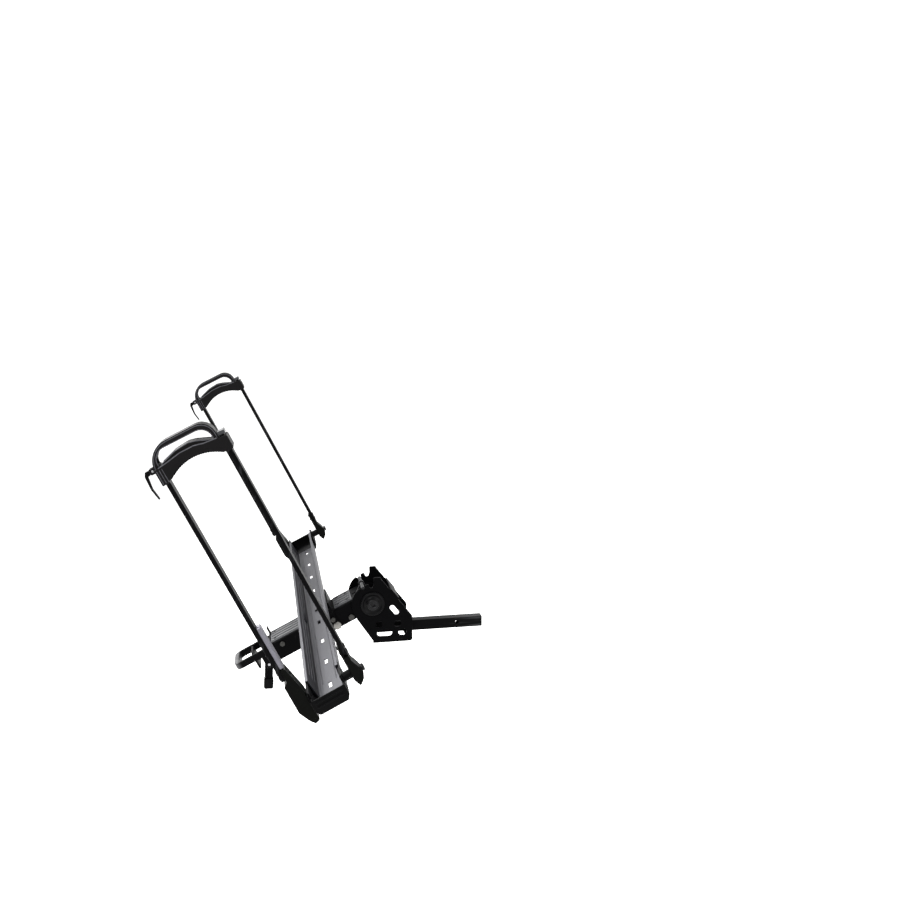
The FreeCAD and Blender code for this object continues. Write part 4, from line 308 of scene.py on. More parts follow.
# Powder coat is polyester baked on the steel: satin, with an orange peel of 2.5 mm that breaks up its
# highlights. Edges are painted a shade lighter in 60 mm patches, for a thin coat and as a painted edge
# highlight, and dust makes 60 mm patches duller.
powder_coat, tree, shader, where = new_finish("satin_black_powder_coat")
patches = add(tree, "ShaderNodeTexNoise", {"Vector": where, "Scale": 1 / (60 * MM), "Detail": 4.0})
edge_wear_and_highlight = add(tree, "ShaderNodeMath", {0: worn_and_highlit_edges(tree, 1.2), 1: patches.outputs["Fac"]},
           operation="MULTIPLY")
colour = add(tree, "ShaderNodeMix", {
    "Factor": edge_wear_and_highlight.outputs["Value"], DARK: linear("050506"), PALE: linear("2a2b2d")}, data_type="RGBA")
dull = add(tree, "ShaderNodeMapRange", {"Value": patches.outputs["Fac"], "From Min": 0.3, "From Max": 0.7,
                                        "To Min": 0.36, "To Max": 0.5})
wire(tree, shader, {"Base Color": colour.outputs[MIXED], "Roughness": dull.outputs["Result"], "IOR": 1.5,
                    "Specular IOR Level": 0.03, "Normal": orange_peel(tree, where)})
for node, width in (("bracket_near_plate", 1.0), ("bracket_far_plate", 1.0), ("bracket_rear_web", 0.8),
                    ("bracket_front_web", 0.8), ("bracket_floor", 1.0), ("bracket_gusset", 1.2)):
    softened(node, width, powder_coat)


def extent(node, basis):
    """Lowest and highest corners of a CAD piece, in mm, measured along a frame's directions."""
    back = basis.inverted()
    places = [back @ vertex.co / MM for vertex in frame["nodes"][node].data.vertices]
    return [Vector([pick(place[axis] for place in places) for axis in range(3)]) for pick in (min, max)]


def spot(basis, along, across, up):
    """A point in metres, from its place in mm along a frame's directions."""
    return basis @ (Vector((along, across, up)) * MM)


def skin(shape, rings, looped=False):
    """Join rings of equal count into a surface, closed at its ends or round on itself."""
    rows = [[shape.verts.new(point) for point in points] for points in rings]
    for first, second in zip(rows, rows[1:] + rows[:1] if looped else rows[1:]):
        for index in range(len(first)):
            after = (index + 1) % len(first)
            shape.faces.new((first[index], first[after], second[after], second[index]))
    if not looped:
        shape.faces.new(rows[0])
        shape.faces.new(rows[-1])


def tube(shape, points, radius, sides=8, pitch=0, ripple=0.0):
    """Add a round bar along points in metres; a weld's ripples, of four rings each, have a pitch in mm."""
    path = [points[0]]
    for start, end in zip(points, points[1:]):
        count = max(1, round((end - start).length / (pitch / 4 * MM))) if pitch else 1
        path += [start.lerp(end, (step + 1) / count) for step in range(count)]
    rings = []
    side = (path[1] - path[0]).orthogonal()
    for number, place in enumerate(path):
        ahead = (path[min(number + 1, len(path) - 1)] - path[max(number - 1, 0)]).normalized()
        side = (side - ahead * ahead.dot(side)).normalized()
        across = ahead.cross(side)
        reach = radius * MM * (1 + ripple * math.cos(math.pi * number / 2))
        turns = [2 * math.pi * index / sides for index in range(sides)]
        rings.append([place + (side * math.cos(turn) + across * math.sin(turn)) * reach for turn in turns])
    skin(shape, rings)


web_rear = extent("bracket_rear_web", level)
web_front = extent("bracket_front_web", level)
bar_low, bar_high = extent("drawbar", level)
welds = bmesh.new()
for low, high in (web_rear, web_front):
    for x in (low.x, high.x):
        for y in (low.y, high.y):
            bead = [spot(level, x, y, low.z), spot(level, x, y, high.z)]
            tube(welds, bead, WELD, pitch=WELD_PITCH, ripple=WELD_RIPPLE)
around = ((bar_low.y, bar_low.z), (bar_high.y, bar_low.z), (bar_high.y, bar_high.z), (bar_low.y, bar_high.z))
for x in (web_rear[0].x, web_front[1].x):
    bead = [spot(level, x, y, z) for y, z in around + around[:1]]
    tube(welds, bead, WELD, pitch=WELD_PITCH, ripple=WELD_RIPPLE)
fasten(finished("bracket_welds", welds, crease=ROUND_CREASE), powder_coat, "hitch", "black_steel")

# Hinge: a round-headed socket bolt through both plates, over a dished pressed cap on each side, with a
# chamfered nut on the far end. Bolt and nut are black oxide, and the caps are coated like the bracket.
FACETS = 48
NEAR, FAR = (0, -1, 0), (0, 1, 0)
SHANK, SHANK_TIP, TIP_HIGH, SOCKET, THREAD_PITCH, NUT_FLATS = 8, 7.8, 1, 14, 2, 24
# Radius and height of the bolt head's rings from its seat, and the heights of its socket's rim and floor.
HINGE_HEAD = ((17, 0), (17, 5.4), (16.4, 7.2), (14.8, 8.6), (13, 9), (9.4, 9), (8.6, 8.4))
SOCKET_RIM, SOCKET_FLOOR = 7.6, 2.6
# Radius and height of the cap's rings, round its dish and back along its flat seat.
CAP_THICK, CAP_CREASE = 5, 50
DISH = ((SHANK, 0), (35, 0), (35, 3.4), (34.2, 4.6), (33, 5), (29.5, 5), (28, 4.4), (26, 2.6), (22.5, 2.3),
        (20.5, 3.4), (19, 5), (SHANK, 5))
# A nut's chamfer leaves this share of its width as a round face, and drops at 30 degrees from it.
WASHER_FACE, CHAMFER, CHAMFER_DROP = 0.93, 0.4, 0.577
# A thread's depth as a share of its pitch, and the height of the plain stretch at its tip.
THREAD_DEPTH, THREAD_END = 0.55, 0.6


def stand(basis, at, way):
    """A frame at a place in mm whose third direction runs outwards along way, square to the spine's run."""
    ahead = Vector((1, 0, 0))
    out = Vector(way)
    turned = Matrix((ahead, out.cross(ahead), out)).transposed().to_4x4()
    return basis @ Matrix.Translation(Vector(at) * MM) @ turned


def ring(place, height, reach, flats=False, drop=0.0):
    """Points round an axis in mm; with flats, a hexagon of that half width whose corners drop away."""
    points = []
    for index in range(FACETS):
        turn = 2 * math.pi * index / FACETS
        radius = reach / math.cos(turn % (math.pi / 3) - math.pi / 6) if flats else reach
        points.append(spot(place, radius * math.cos(turn), radius * math.sin(turn),
                           height - drop * (radius - reach)))
    return points


def lathe(shape, place, profile):
    """Turn a profile of (radius, height) in mm about an axis."""
    skin(shape, [ring(place, height, reach) for reach, height in profile])


def hex_head(shape, place, flats, high, seat=0.0):
    """A hexagon head or nut from its seat up, chamfered at 30 degrees, with a turned washer face."""
    half = flats / 2
    skin(shape, [ring(place, seat, WASHER_FACE * half), ring(place, seat + CHAMFER, WASHER_FACE * half),
                 ring(place, seat + CHAMFER, half, flats=True),
                 ring(place, seat + high - CHAMFER, half, flats=True, drop=CHAMFER_DROP),
                 ring(place, seat + high, WASHER_FACE * half)])


def threaded(shape, place, radius, low, high, pitch):
    """The threaded end of a bolt: a groove at each pitch, and a chamfered tip."""
    root = radius - THREAD_DEPTH * pitch
    profile = [(radius - THREAD_END, low)]
    for step in range(int((high - low) / pitch)):
        profile += [(root, low + step * pitch), (radius, low + (step + 0.5) * pitch)]
    profile += [(root, high - THREAD_END), (radius - pitch, high)]
    lathe(shape, place, profile)


# Black oxide leaves the steel's fine machining marks under a thin oiled film, so heads stay dark; their
# edges are painted paler, for wear and as a painted highlight. The marks are 1.5 mm apart.
black_oxide, tree, shader, where = new_finish("black_oxide_steel")
marks = add(tree, "ShaderNodeTexNoise", {"Vector": where, "Scale": 1 / (1.5 * MM), "Detail": 4.0})
colour = add(tree, "ShaderNodeMix", {
    "Factor": worn_and_highlit_edges(tree, 0.8), DARK: linear("1b1b1c"), PALE: linear("6a6a6c")}, data_type="RGBA")
sheen = add(tree, "ShaderNodeMapRange", {"Value": marks.outputs["Fac"], "To Min": 0.32, "To Max": 0.5})
wire(tree, shader, {"Base Color": colour.outputs[MIXED], "Metallic": 0.8,
                    "Roughness": sheen.outputs["Result"]})
# The pressed caps are smoother than the flame-cut plates, so the same coat flows out glossier on them, and
# the edges of their rings are painted a cool grey as a highlight.
smooth_coat, tree, shader, where = new_finish("glossy_black_powder_coat")
colour = add(tree, "ShaderNodeMix", {
    "Factor": worn_and_highlit_edges(tree, 1.5), DARK: linear("060607"), PALE: linear("3c3c42")}, data_type="RGBA")
wire(tree, shader, {"Base Color": colour.outputs[MIXED], "Roughness": 0.3, "IOR": 1.5,
                    "Specular IOR Level": 0.1, "Normal": orange_peel(tree, where, 4.0, 0.03)})

bolt_end = extent("pivot_bolt", level)[1].y
cap_seat = -extent("pivot_caps", level)[0].y
nut_low, nut_high = (corner.y for corner in extent("pivot_nut", level))
near_place = stand(level, (0, 0, 0), NEAR)
far_place = stand(level, (0, 0, 0), FAR)
hinge_bolt = bmesh.new()
lathe(hinge_bolt, near_place, [(SHANK_TIP, TIP_HIGH - nut_high), (SHANK, 2 * TIP_HIGH - nut_high),
                               (SHANK, cap_seat)])
rings = [ring(near_place, cap_seat + height, reach) for reach, height in HINGE_HEAD]
for height in (SOCKET_RIM, SOCKET_FLOOR):
    rings.append(ring(near_place, cap_seat + height, SOCKET / 2, flats=True))
skin(hinge_bolt, rings)
threaded(hinge_bolt, far_place, SHANK, cap_seat, bolt_end, THREAD_PITCH)
fasten(finished("hinge_bolt", hinge_bolt), black_oxide, "hitch", "black_bolt", "pivot_bolt")
hinge_nut = bmesh.new()
hex_head(hinge_nut, far_place, NUT_FLATS, nut_high - nut_low, nut_low)
fasten(finished("hinge_nut", hinge_nut), black_oxide, "hitch", "black_bolt", "pivot_nut")
caps = bmesh.new()
for place in (near_place, far_place):
    skin(caps, [ring(place, cap_seat - CAP_THICK + height, reach) for reach, height in DISH], looped=True)
fasten(finished("hinge_caps", caps, crease=CAP_CREASE), smooth_coat, "hitch", "black_steel", "pivot_caps")

# Hinge bushes and sleeve: flanged bushes of natural nylon pressed into the spine's walls, with a turned steel
# tube between them. Only the bushes' rims show, in the gap beside the plates.

# Unfilled nylon is creamy and slightly waxy, with 6 mm clouds, so light goes a little way in.
natural_nylon, tree, shader, where = new_finish("moulded_natural_nylon")
cloud = add(tree, "ShaderNodeTexNoise", {"Vector": where, "Scale": 1 / (6 * MM), "Detail": 3.0})
colour = add(tree, "ShaderNodeMix", {
    "Factor": cloud.outputs["Fac"], DARK: linear("c9c1ab"), PALE: linear("ded8c6")}, data_type="RGBA")
wire(tree, shader, {"Base Color": colour.outputs[MIXED], "Subsurface Weight": 0.15, "Roughness": 0.42,
                    "Subsurface Radius": (2 * MM, 2 * MM, 1.5 * MM), "IOR": 1.53})
softened("pivot_bushes", 0.4, natural_nylon)
# Turned steel is bright and keeps the rings of the lathe tool, drawn at 0.8 mm, wider than the real feed so
# that they show. The wave node's own scale counts 20 radians.
TOOL_FEED, WAVE_RADIANS = 0.8, 20
turned_steel, tree, shader, where = new_finish("turned_mild_steel")
feed = add(tree, "ShaderNodeTexWave", {
    "Vector": where, "Scale": 2 * math.pi / WAVE_RADIANS / (TOOL_FEED * MM), "Distortion": 0.4,
    "Detail": 1.0}, bands_direction="Y")
lines = add(tree, "ShaderNodeBump", {"Height": feed.outputs["Fac"], "Distance": 0.01 * MM, "Strength": 0.4})
stain = add(tree, "ShaderNodeTexNoise", {"Vector": where, "Scale": 1 / (14 * MM), "Detail": 5.0})
colour = add(tree, "ShaderNodeMix", {
    "Factor": stain.outputs["Fac"], DARK: linear("8f8f92"), PALE: linear("b7b7ba")}, data_type="RGBA")
wire(tree, shader, {"Base Color": colour.outputs[MIXED], "Metallic": 1.0, "Roughness": 0.34,
                    "Normal": lines.outputs["Normal"]})
softened("pivot_sleeve", 0.4, turned_steel)

# Spine: a folded steel channel, open below, coated black. Its bends have a large radius, its cut ends are
# deburred, and a moulded cap closes its outer end.
softened("spine_channel", 1.4, powder_coat)
softened("spine_end_cap", 1.3, moulded_nylon)

# Spine covers: moulded strips with five grip ribs that lie on the channel's top, in front of and behind the
# tray. Each snaps into the channel with four recessed clips, whose heads sit between the ribs.
CLIP_RADIUS, CLIP_HIGH, CLIP_SOCKET = 4, 1.2, 2.4
CLIP_INSET, CLIP_SPREAD, CLIP_SUNK = 14, 30, 2
UP = (0, 0, 1)
# A domed head's rings, as shares of its radius and height, and the rim, chamfer and floor of its socket.
DOME = ((1, 0), (1, 0.3), (0.95, 0.62), (0.84, 0.86), (0.7, 1))
HEAD_RIM, HEAD_CHAMFER, HEAD_FLOOR = 0.5, 0.4, 0.3


def button_head(shape, place, reach, high, socket):
    """A domed head with a hexagon socket of that width across flats."""
    rings = [ring(place, rise * high, share * reach) for share, rise in DOME]
    rings.append(ring(place, high, socket / 2 + HEAD_RIM))
    rings.append(ring(place, high - HEAD_CHAMFER, socket / 2, flats=True))
    rings.append(ring(place, HEAD_FLOOR * high, socket / 2, flats=True))
    skin(shape, rings)


# Nylon with a 1 mm mould grain, painted grey for the sky light on the spine covers' tops, with 25 mm patches
# of dust; the bars' stops share it.
grey_nylon_painted_sky_light, tree, shader, where = new_finish("ribbed_nylon_painted_sky_light")
grain = add(tree, "ShaderNodeTexNoise", {"Vector": where, "Scale": 1 / (1.0 * MM), "Detail": 3.0})
pits = add(tree, "ShaderNodeBump", {"Height": grain.outputs["Fac"], "Distance": 0.08 * MM, "Strength": 0.8})
dust = add(tree, "ShaderNodeTexNoise", {"Vector": where, "Scale": 1 / (25 * MM), "Detail": 4.0})
colour = add(tree, "ShaderNodeMix", {
    "Factor": dust.outputs["Fac"], DARK: linear("2c2d30"), PALE: linear("3e3f43")}, data_type="RGBA")
wire(tree, shader, {"Base Color": colour.outputs[MIXED], "Roughness": 0.5, "IOR": 1.53,
                    "Normal": pits.outputs["Normal"]})
clips = bmesh.new()
for node in ("spine_front_cover", "spine_rear_cover"):
    softened(node, 0.9, grey_nylon_painted_sky_light)
    low, high = extent(node, tilted)
    for u in (low.x + CLIP_INSET, high.x - CLIP_INSET):
        for w in (-CLIP_SPREAD, CLIP_SPREAD):
            place = stand(tilted, (u, w, high.z - CLIP_SUNK), UP)
            button_head(clips, place, CLIP_RADIUS, CLIP_HIGH, CLIP_SOCKET)
fasten(finished("cover_clips", clips), moulded_nylon, "carrier", "moulded_black")

# Cross bolts: zinc hexagon bolts with washers, one near the hinge, a large bright one under the tray, two
# through the saddle's skirts and one through the handle's rails. All but the large one are weathered.
WASHER_THICK, WASHER_FLAT, WASHER_CHAMFER, SHANK_PAST = 1.6, 1.2, 0.5, 1
SADDLE_STEP, SADDLE_FLATS, SADDLE_HEAD, SADDLE_SHANK, SADDLE_WASHER = 56, 13, 5, 4, 7
# Clear passivated zinc is silvery with a faint bloom of 5 mm, and it dulls in patches outdoors.
bright_zinc, tree, shader, where = new_finish("bright_zinc_plate")
bloom = add(tree, "ShaderNodeTexNoise", {"Vector": where, "Scale": 1 / (5 * MM), "Detail": 3.0})
colour = add(tree, "ShaderNodeMix", {
    "Factor": bloom.outputs["Fac"], DARK: linear("6f6e6c"), PALE: linear("8f8d88")}, data_type="RGBA")
dull = add(tree, "ShaderNodeMapRange", {"Value": bloom.outputs["Fac"], "To Min": 0.3, "To Max": 0.5})
wire(tree, shader, {"Base Color": colour.outputs[MIXED], "Metallic": 1.0,
                    "Roughness": dull.outputs["Result"]})
# The small bolts sit in road spray, so their zinc has turned to a dull grey film with 4 mm blotches.
grey_zinc, tree, shader, where = new_finish("weathered_zinc_plate")
film = add(tree, "ShaderNodeTexNoise", {"Vector": where, "Scale": 1 / (4 * MM), "Detail": 4.0})
colour = add(tree, "ShaderNodeMix", {
    "Factor": film.outputs["Fac"], DARK: linear("2c2c2c"), PALE: linear("4c4b48")}, data_type="RGBA")
wire(tree, shader, {"Base Color": colour.outputs[MIXED], "Metallic": 0.85, "Roughness": 0.5})


def cross_bolt(shape, at, flats, head, seat, shank, washer):
    """A hexagon bolt across the spine with a washer and a nut, from outside one face to outside the other."""
    for way in (NEAR, FAR):
        place = stand(tilted, (at.x, 0, at.z), way)
        lathe(shape, place, [(washer, seat), (washer, seat + WASHER_FLAT),
                             (washer - WASHER_CHAMFER, seat + WASHER_THICK), (shank, seat + WASHER_THICK)])
        hex_head(shape, place, flats, head - WASHER_THICK, seat + WASHER_THICK)
    reach = seat + SHANK_PAST
    lathe(shape, stand(tilted, (at.x, 0, at.z), FAR), [(shank, -reach), (shank, reach)])


def crossing(node):
    """Where a group of cross bolts passes through the spine, and how far out their heads reach."""
    low, high = extent(node, tilted)
    return (low + high) / 2, high.y


# Width across flats, head height with its washer, shank radius and washer radius.
for node, flats, head, shank, washer, finish in (("spine_side_bolt", 16, 6, 6, 8.8, grey_zinc),
                                                 ("spine_clamp_bolt", 21, 8, 6, 11.2, bright_zinc),
                                                 ("handle_bolt", 13, 5, 4, 7, grey_zinc)):
    middle, reach = crossing(node)
    shape = bmesh.new()
    cross_bolt(shape, middle, flats, head, reach - head, shank, washer)
    fasten(finished(node + "_set", shape), finish, "carrier", "zinc", node)
middle, reach = crossing("saddle_bolts")
shape = bmesh.new()
for side in (-1, 1):
    at = middle + Vector((side * SADDLE_STEP / 2, 0, 0))
    cross_bolt(shape, at, SADDLE_FLATS, SADDLE_HEAD, reach - SADDLE_HEAD, SADDLE_SHANK, SADDLE_WASHER)
fasten(finished("saddle_bolt_set", shape), grey_zinc, "carrier", "zinc", "saddle_bolts")

# Handle: a U of flat steel with rounded corners, bolted inside the spine and coated with it. Use polishes its
# outer cross part, which starts 412 mm out from the hinge, and that part's colour is painted lighter as a
# highlight.
GRIP_START, GRIP_FULL = -412, -424
# Rubbed powder coat is glossier, and its colour is painted a little lighter in 18 mm smudges as a highlight.
grip_coat_painted_highlight, tree, shader, where = new_finish("grip_polished_coat_painted_highlight")
from_hinge = add(tree, "ShaderNodeVectorMath", {0: where, 1: hinge}, operation="SUBTRACT")
along = add(tree, "ShaderNodeVectorMath", {0: from_hinge.outputs["Vector"], 1: spine_way},
            operation="DOT_PRODUCT")
grip = add(tree, "ShaderNodeMapRange", {"Value": along.outputs["Value"], "From Min": GRIP_START * MM,
                                        "From Max": GRIP_FULL * MM})
smudge = add(tree, "ShaderNodeTexNoise", {"Vector": where, "Scale": 1 / (18 * MM), "Detail": 4.0})
polish_and_highlight = add(tree, "ShaderNodeMath", {0: grip.outputs["Result"], 1: smudge.outputs["Fac"]},
             operation="MULTIPLY")
colour = add(tree, "ShaderNodeMix", {
    "Factor": polish_and_highlight.outputs["Value"], DARK: linear("070708"), PALE: linear("5c5c60")}, data_type="RGBA")
shine = add(tree, "ShaderNodeMapRange", {"Value": polish_and_highlight.outputs["Value"], "To Min": 0.04, "To Max": 0.6})
wire(tree, shader, {"Base Color": colour.outputs[MIXED], "Roughness": 0.4, "IOR": 1.5,
                    "Specular IOR Level": shine.outputs["Result"], "Normal": orange_peel(tree, where)})
softened("handle_loop", 2.0, grip_coat_painted_highlight, segments=4)

# Trigger and pull rod: a moulded paddle on a plain steel rod. The paddle has finger ribs across its outer
# face and a raised rim.
RIB_COUNT, RIB_STEP, RIB_MIDDLE, RIB_HALF, RIB_RADIUS, RIB_SUNK = 5, 8, 6.5, 26, 1.3, 0.2
softened("trigger", 1.8, moulded_nylon, segments=3)
softened("pull_rod", 0.6, turned_steel)
paddle_face = extent("trigger", tilted)[0].x + RIB_SUNK
ribs = bmesh.new()
for step in range(RIB_COUNT):
    v = RIB_MIDDLE + (step - (RIB_COUNT - 1) / 2) * RIB_STEP
    tube(ribs, [spot(tilted, paddle_face, w, v) for w in (-RIB_HALF, RIB_HALF)], RIB_RADIUS)
fasten(finished("trigger_ribs", ribs, crease=ROUND_CREASE), moulded_nylon, "release", "moulded_black")

# Latch: a flame-cut blade that rises out of the spine and a turned cross bar, both phosphated and greased,
# with two guide blocks that are welded under the channel's top.

# Phosphate leaves a dark, fine crystal skin, drawn at 1.2 mm, that grease turns nearly black. Its edges are
# painted grey, for rubbing and as a painted highlight.
phosphated, tree, shader, where = new_finish("phosphated_steel")
crystals = add(tree, "ShaderNodeTexNoise", {"Vector": where, "Scale": 1 / (1.2 * MM), "Detail": 4.0})
pits = add(tree, "ShaderNodeBump", {"Height": crystals.outputs["Fac"], "Distance": 0.03 * MM,
                                    "Strength": 0.6})
colour = add(tree, "ShaderNodeMix", {
    "Factor": worn_and_highlit_edges(tree, 0.9), DARK: linear("262628"), PALE: linear("6b6b6e")}, data_type="RGBA")
wire(tree, shader, {"Base Color": colour.outputs[MIXED], "Metallic": 0.6, "Roughness": 0.45,
                    "Normal": pits.outputs["Normal"]})
softened("latch_blade", 0.6, phosphated)
softened("latch_bar", 0.8, phosphated)
softened("latch_guides", 0.8, powder_coat)

# Foot lever: a flat bar on a pin between the handle's rails, with a hub, two prongs that push the rod's
# collar, a coil spring and a moulded rubber pad with treads on both faces.
FOOT_LEAN = math.radians(29)
TREAD_COUNT, TREAD_STEP, TREAD_START = 5, 5, 66
TREAD_OUT, TREAD_HALF, TREAD_RADIUS = 13.2, 5.6, 0.9
softened("foot_lever", 1.4, powder_coat)
softened("foot_lever_pin", 0.6, turned_steel)
# Patented spring wire is drawn dark and stays slightly oily, with 2 mm stains.
spring_steel, tree, shader, where = new_finish("oiled_spring_steel")
stain = add(tree, "ShaderNodeTexNoise", {"Vector": where, "Scale": 1 / (2 * MM), "Detail": 3.0})
colour = add(tree, "ShaderNodeMix", {
    "Factor": stain.outputs["Fac"], DARK: linear("55565a"), PALE: linear("7b7c80")}, data_type="RGBA")
wire(tree, shader, {"Base Color": colour.outputs[MIXED], "Metallic": 1.0, "Roughness": 0.3})
spring = frame["nodes"]["lever_spring"]
spring.data.materials.clear()
spring.data.materials.append(spring_steel)
# Moulded rubber is nearly matt, with a 0.8 mm grain and a fine talc bloom that greys it in 12 mm patches.
matt_rubber, tree, shader, where = new_finish("matt_black_rubber")
talc = add(tree, "ShaderNodeTexNoise", {"Vector": where, "Scale": 1 / (12 * MM), "Detail": 5.0})
grain = add(tree, "ShaderNodeTexNoise", {"Vector": where, "Scale": 1 / (0.8 * MM), "Detail": 2.0})
pits = add(tree, "ShaderNodeBump", {"Height": grain.outputs["Fac"], "Distance": 0.08 * MM, "Strength": 0.8})
colour = add(tree, "ShaderNodeMix", {
    "Factor": talc.outputs["Fac"], DARK: linear("070707"), PALE: linear("151516")}, data_type="RGBA")
wire(tree, shader, {"Base Color": colour.outputs[MIXED], "Roughness": 0.72, "IOR": 1.52,
                    "Specular IOR Level": 0.05, "Normal": pits.outputs["Normal"]})
softened("foot_pad", 1.6, matt_rubber, segments=3)
pin_low, pin_high = extent("foot_lever_pin", tilted)
foot_down = Vector((-math.sin(FOOT_LEAN), 0, -math.cos(FOOT_LEAN)))
foot_ahead = Vector((math.cos(FOOT_LEAN), 0, -math.sin(FOOT_LEAN)))
treads = bmesh.new()
for side in (-1, 1):
    for step in range(TREAD_COUNT):
        down = foot_down * (TREAD_START + step * TREAD_STEP)
        middle = (pin_low + pin_high) / 2 + down + foot_ahead * (side * TREAD_OUT)
        line = [spot(tilted, middle.x, middle.y + w, middle.z) for w in (-TREAD_HALF, TREAD_HALF)]
        tube(treads, line, TREAD_RADIUS)
fasten(finished("foot_pad_treads", treads, crease=ROUND_CREASE), matt_rubber, "foot_release", "soft_rubber")

# Saddle: a pressed bracket that straddles the spine, with cheeks beside the tray's floor. It is welded from
# plate, coated, and held by the bolts in its skirts.
softened("tray_saddle", 1.4, powder_coat)

# Wheel tray: an extruded aluminium channel, anodised dark, with a lip along each wall and fine extrusion
# beads along its walls and floor. A raised oblong stands on the inside of each wall near the middle.
TRAY_MIDDLE, FLOOR_HALF, TOP_HALF, TRAY_WALL = -150, 33, 38, 3
BEAD, BEAD_RISES, FLOOR_BEAD, END_COVER = 0.9, (16, 28, 40), 18, 64
PAD_START, PAD_END, PAD_RISE, PAD_HALF = -150, -40, 24, 8
# How far each level of a pad lies out into the wall, and how far it is drawn in.
PAD_LEVELS = ((0.6, 0), (-1.1, 0), (-1.6, 1))
STREAK_WIDE, STREAK_LONG = 2.222, 200
# The die leaves fine streaks along the whole extrusion, which the dark anodising keeps, so it catches the
# light in long lines.
anodised, tree, shader, where = new_finish("dark_anodised_aluminium")
along = add(tree, "ShaderNodeMapping", {"Vector": where,
                                        "Scale": per_metre(STREAK_WIDE, STREAK_LONG, STREAK_WIDE)})
streaks = add(tree, "ShaderNodeTexNoise", {"Vector": along.outputs["Vector"], "Scale": 1.0, "Detail": 5.0})
colour = add(tree, "ShaderNodeMix", {
    "Factor": streaks.outputs["Fac"], DARK: linear("2a2a2e"), PALE: linear("4c4c52")}, data_type="RGBA")
sheen = add(tree, "ShaderNodeMapRange", {"Value": streaks.outputs["Fac"], "To Min": 0.3, "To Max": 0.48})
drawn = add(tree, "ShaderNodeBump", {"Height": streaks.outputs["Fac"], "Distance": 0.03 * MM,
                                     "Strength": 0.5})
wire(tree, shader, {"Base Color": colour.outputs[MIXED], "Metallic": 0.75,
                    "Roughness": sheen.outputs["Result"], "Normal": drawn.outputs["Normal"]})
softened("wheel_tray", 0.7, anodised)
tray_low, tray_high = extent("wheel_tray", tilted)
lean = (TOP_HALF - FLOOR_HALF) / (tray_high.z - tray_low.z)
run = (tray_low.y + END_COVER, tray_high.y - END_COVER)
beads = bmesh.new()
pads = bmesh.new()
for side in (-1, 1):
    for rise in BEAD_RISES:
        for inset in (0, TRAY_WALL):
            u = TRAY_MIDDLE + side * (FLOOR_HALF + rise * lean - inset)
            tube(beads, [spot(tilted, u, w, tray_low.z + rise) for w in run], BEAD)
    u = TRAY_MIDDLE + side * FLOOR_BEAD
    tube(beads, [spot(tilted, u, w, tray_low.z + TRAY_WALL) for w in run], BEAD)
    rings = []
    for depth, shrink in PAD_LEVELS:
        out = FLOOR_HALF + PAD_RISE * lean - TRAY_WALL + depth
        foot = (TRAY_MIDDLE + side * (out - PAD_HALF * lean), tray_low.z + PAD_RISE - PAD_HALF + shrink)
        top = (TRAY_MIDDLE + side * (out + PAD_HALF * lean), tray_low.z + PAD_RISE + PAD_HALF - shrink)
        start, end = PAD_START + shrink, PAD_END - shrink
        rings.append([spot(tilted, u, w, v) for (u, v), w in
                      ((foot, start), (foot, end), (top, end), (top, start))])
    skin(pads, rings)
fasten(finished("tray_beads", beads, crease=ROUND_CREASE), anodised, "carrier", "tray_metal")
fasten(finished("tray_wall_pads", pads), anodised, "carrier", "tray_metal")

# Tray bolts: two low button heads in the tray's floor, with nuts under the saddle. Their shanks have a small
# chamfer at the tip, and run a little way up into their heads.
FLOOR_HEAD, FLOOR_SOCKET, FLOOR_SHANK, FLOOR_TIP, TIP_CHAMFER, INTO_HEAD = 6.5, 4, 4, 3.4, 0.6, 0.5
FLOOR_NUT_FLATS, FLOOR_NUT_HIGH, FLOOR_NUT_SEAT = 11.2, 6, 43
bolts_low, bolts_high = extent("tray_bolts", tilted)
floor_top = tray_low.z + TRAY_WALL
shape = bmesh.new()
for w in (bolts_low.y + FLOOR_HEAD, bolts_high.y - FLOOR_HEAD):
    button_head(shape, stand(tilted, (TRAY_MIDDLE, w, floor_top), UP), FLOOR_HEAD, bolts_high.z - floor_top,
                FLOOR_SOCKET)
    place = stand(tilted, (TRAY_MIDDLE, w, 0), UP)
    hex_head(shape, place, FLOOR_NUT_FLATS, FLOOR_NUT_HIGH, FLOOR_NUT_SEAT)
    lathe(shape, place, [(FLOOR_TIP, bolts_low.z), (FLOOR_SHANK, bolts_low.z + TIP_CHAMFER),
                         (FLOOR_SHANK, floor_top + INTO_HEAD)])
fasten(finished("tray_bolt_set", shape), black_oxide, "carrier", "black_bolt", "tray_bolts")

# Tray ends: deep moulded buckets pressed over the tray's ends, with bosses for the arm axles. A rolled brim
# runs along the top of each bucket's side walls, and two ribs stiffen each wall.
ENDS = (("near", -1), ("far", 1))
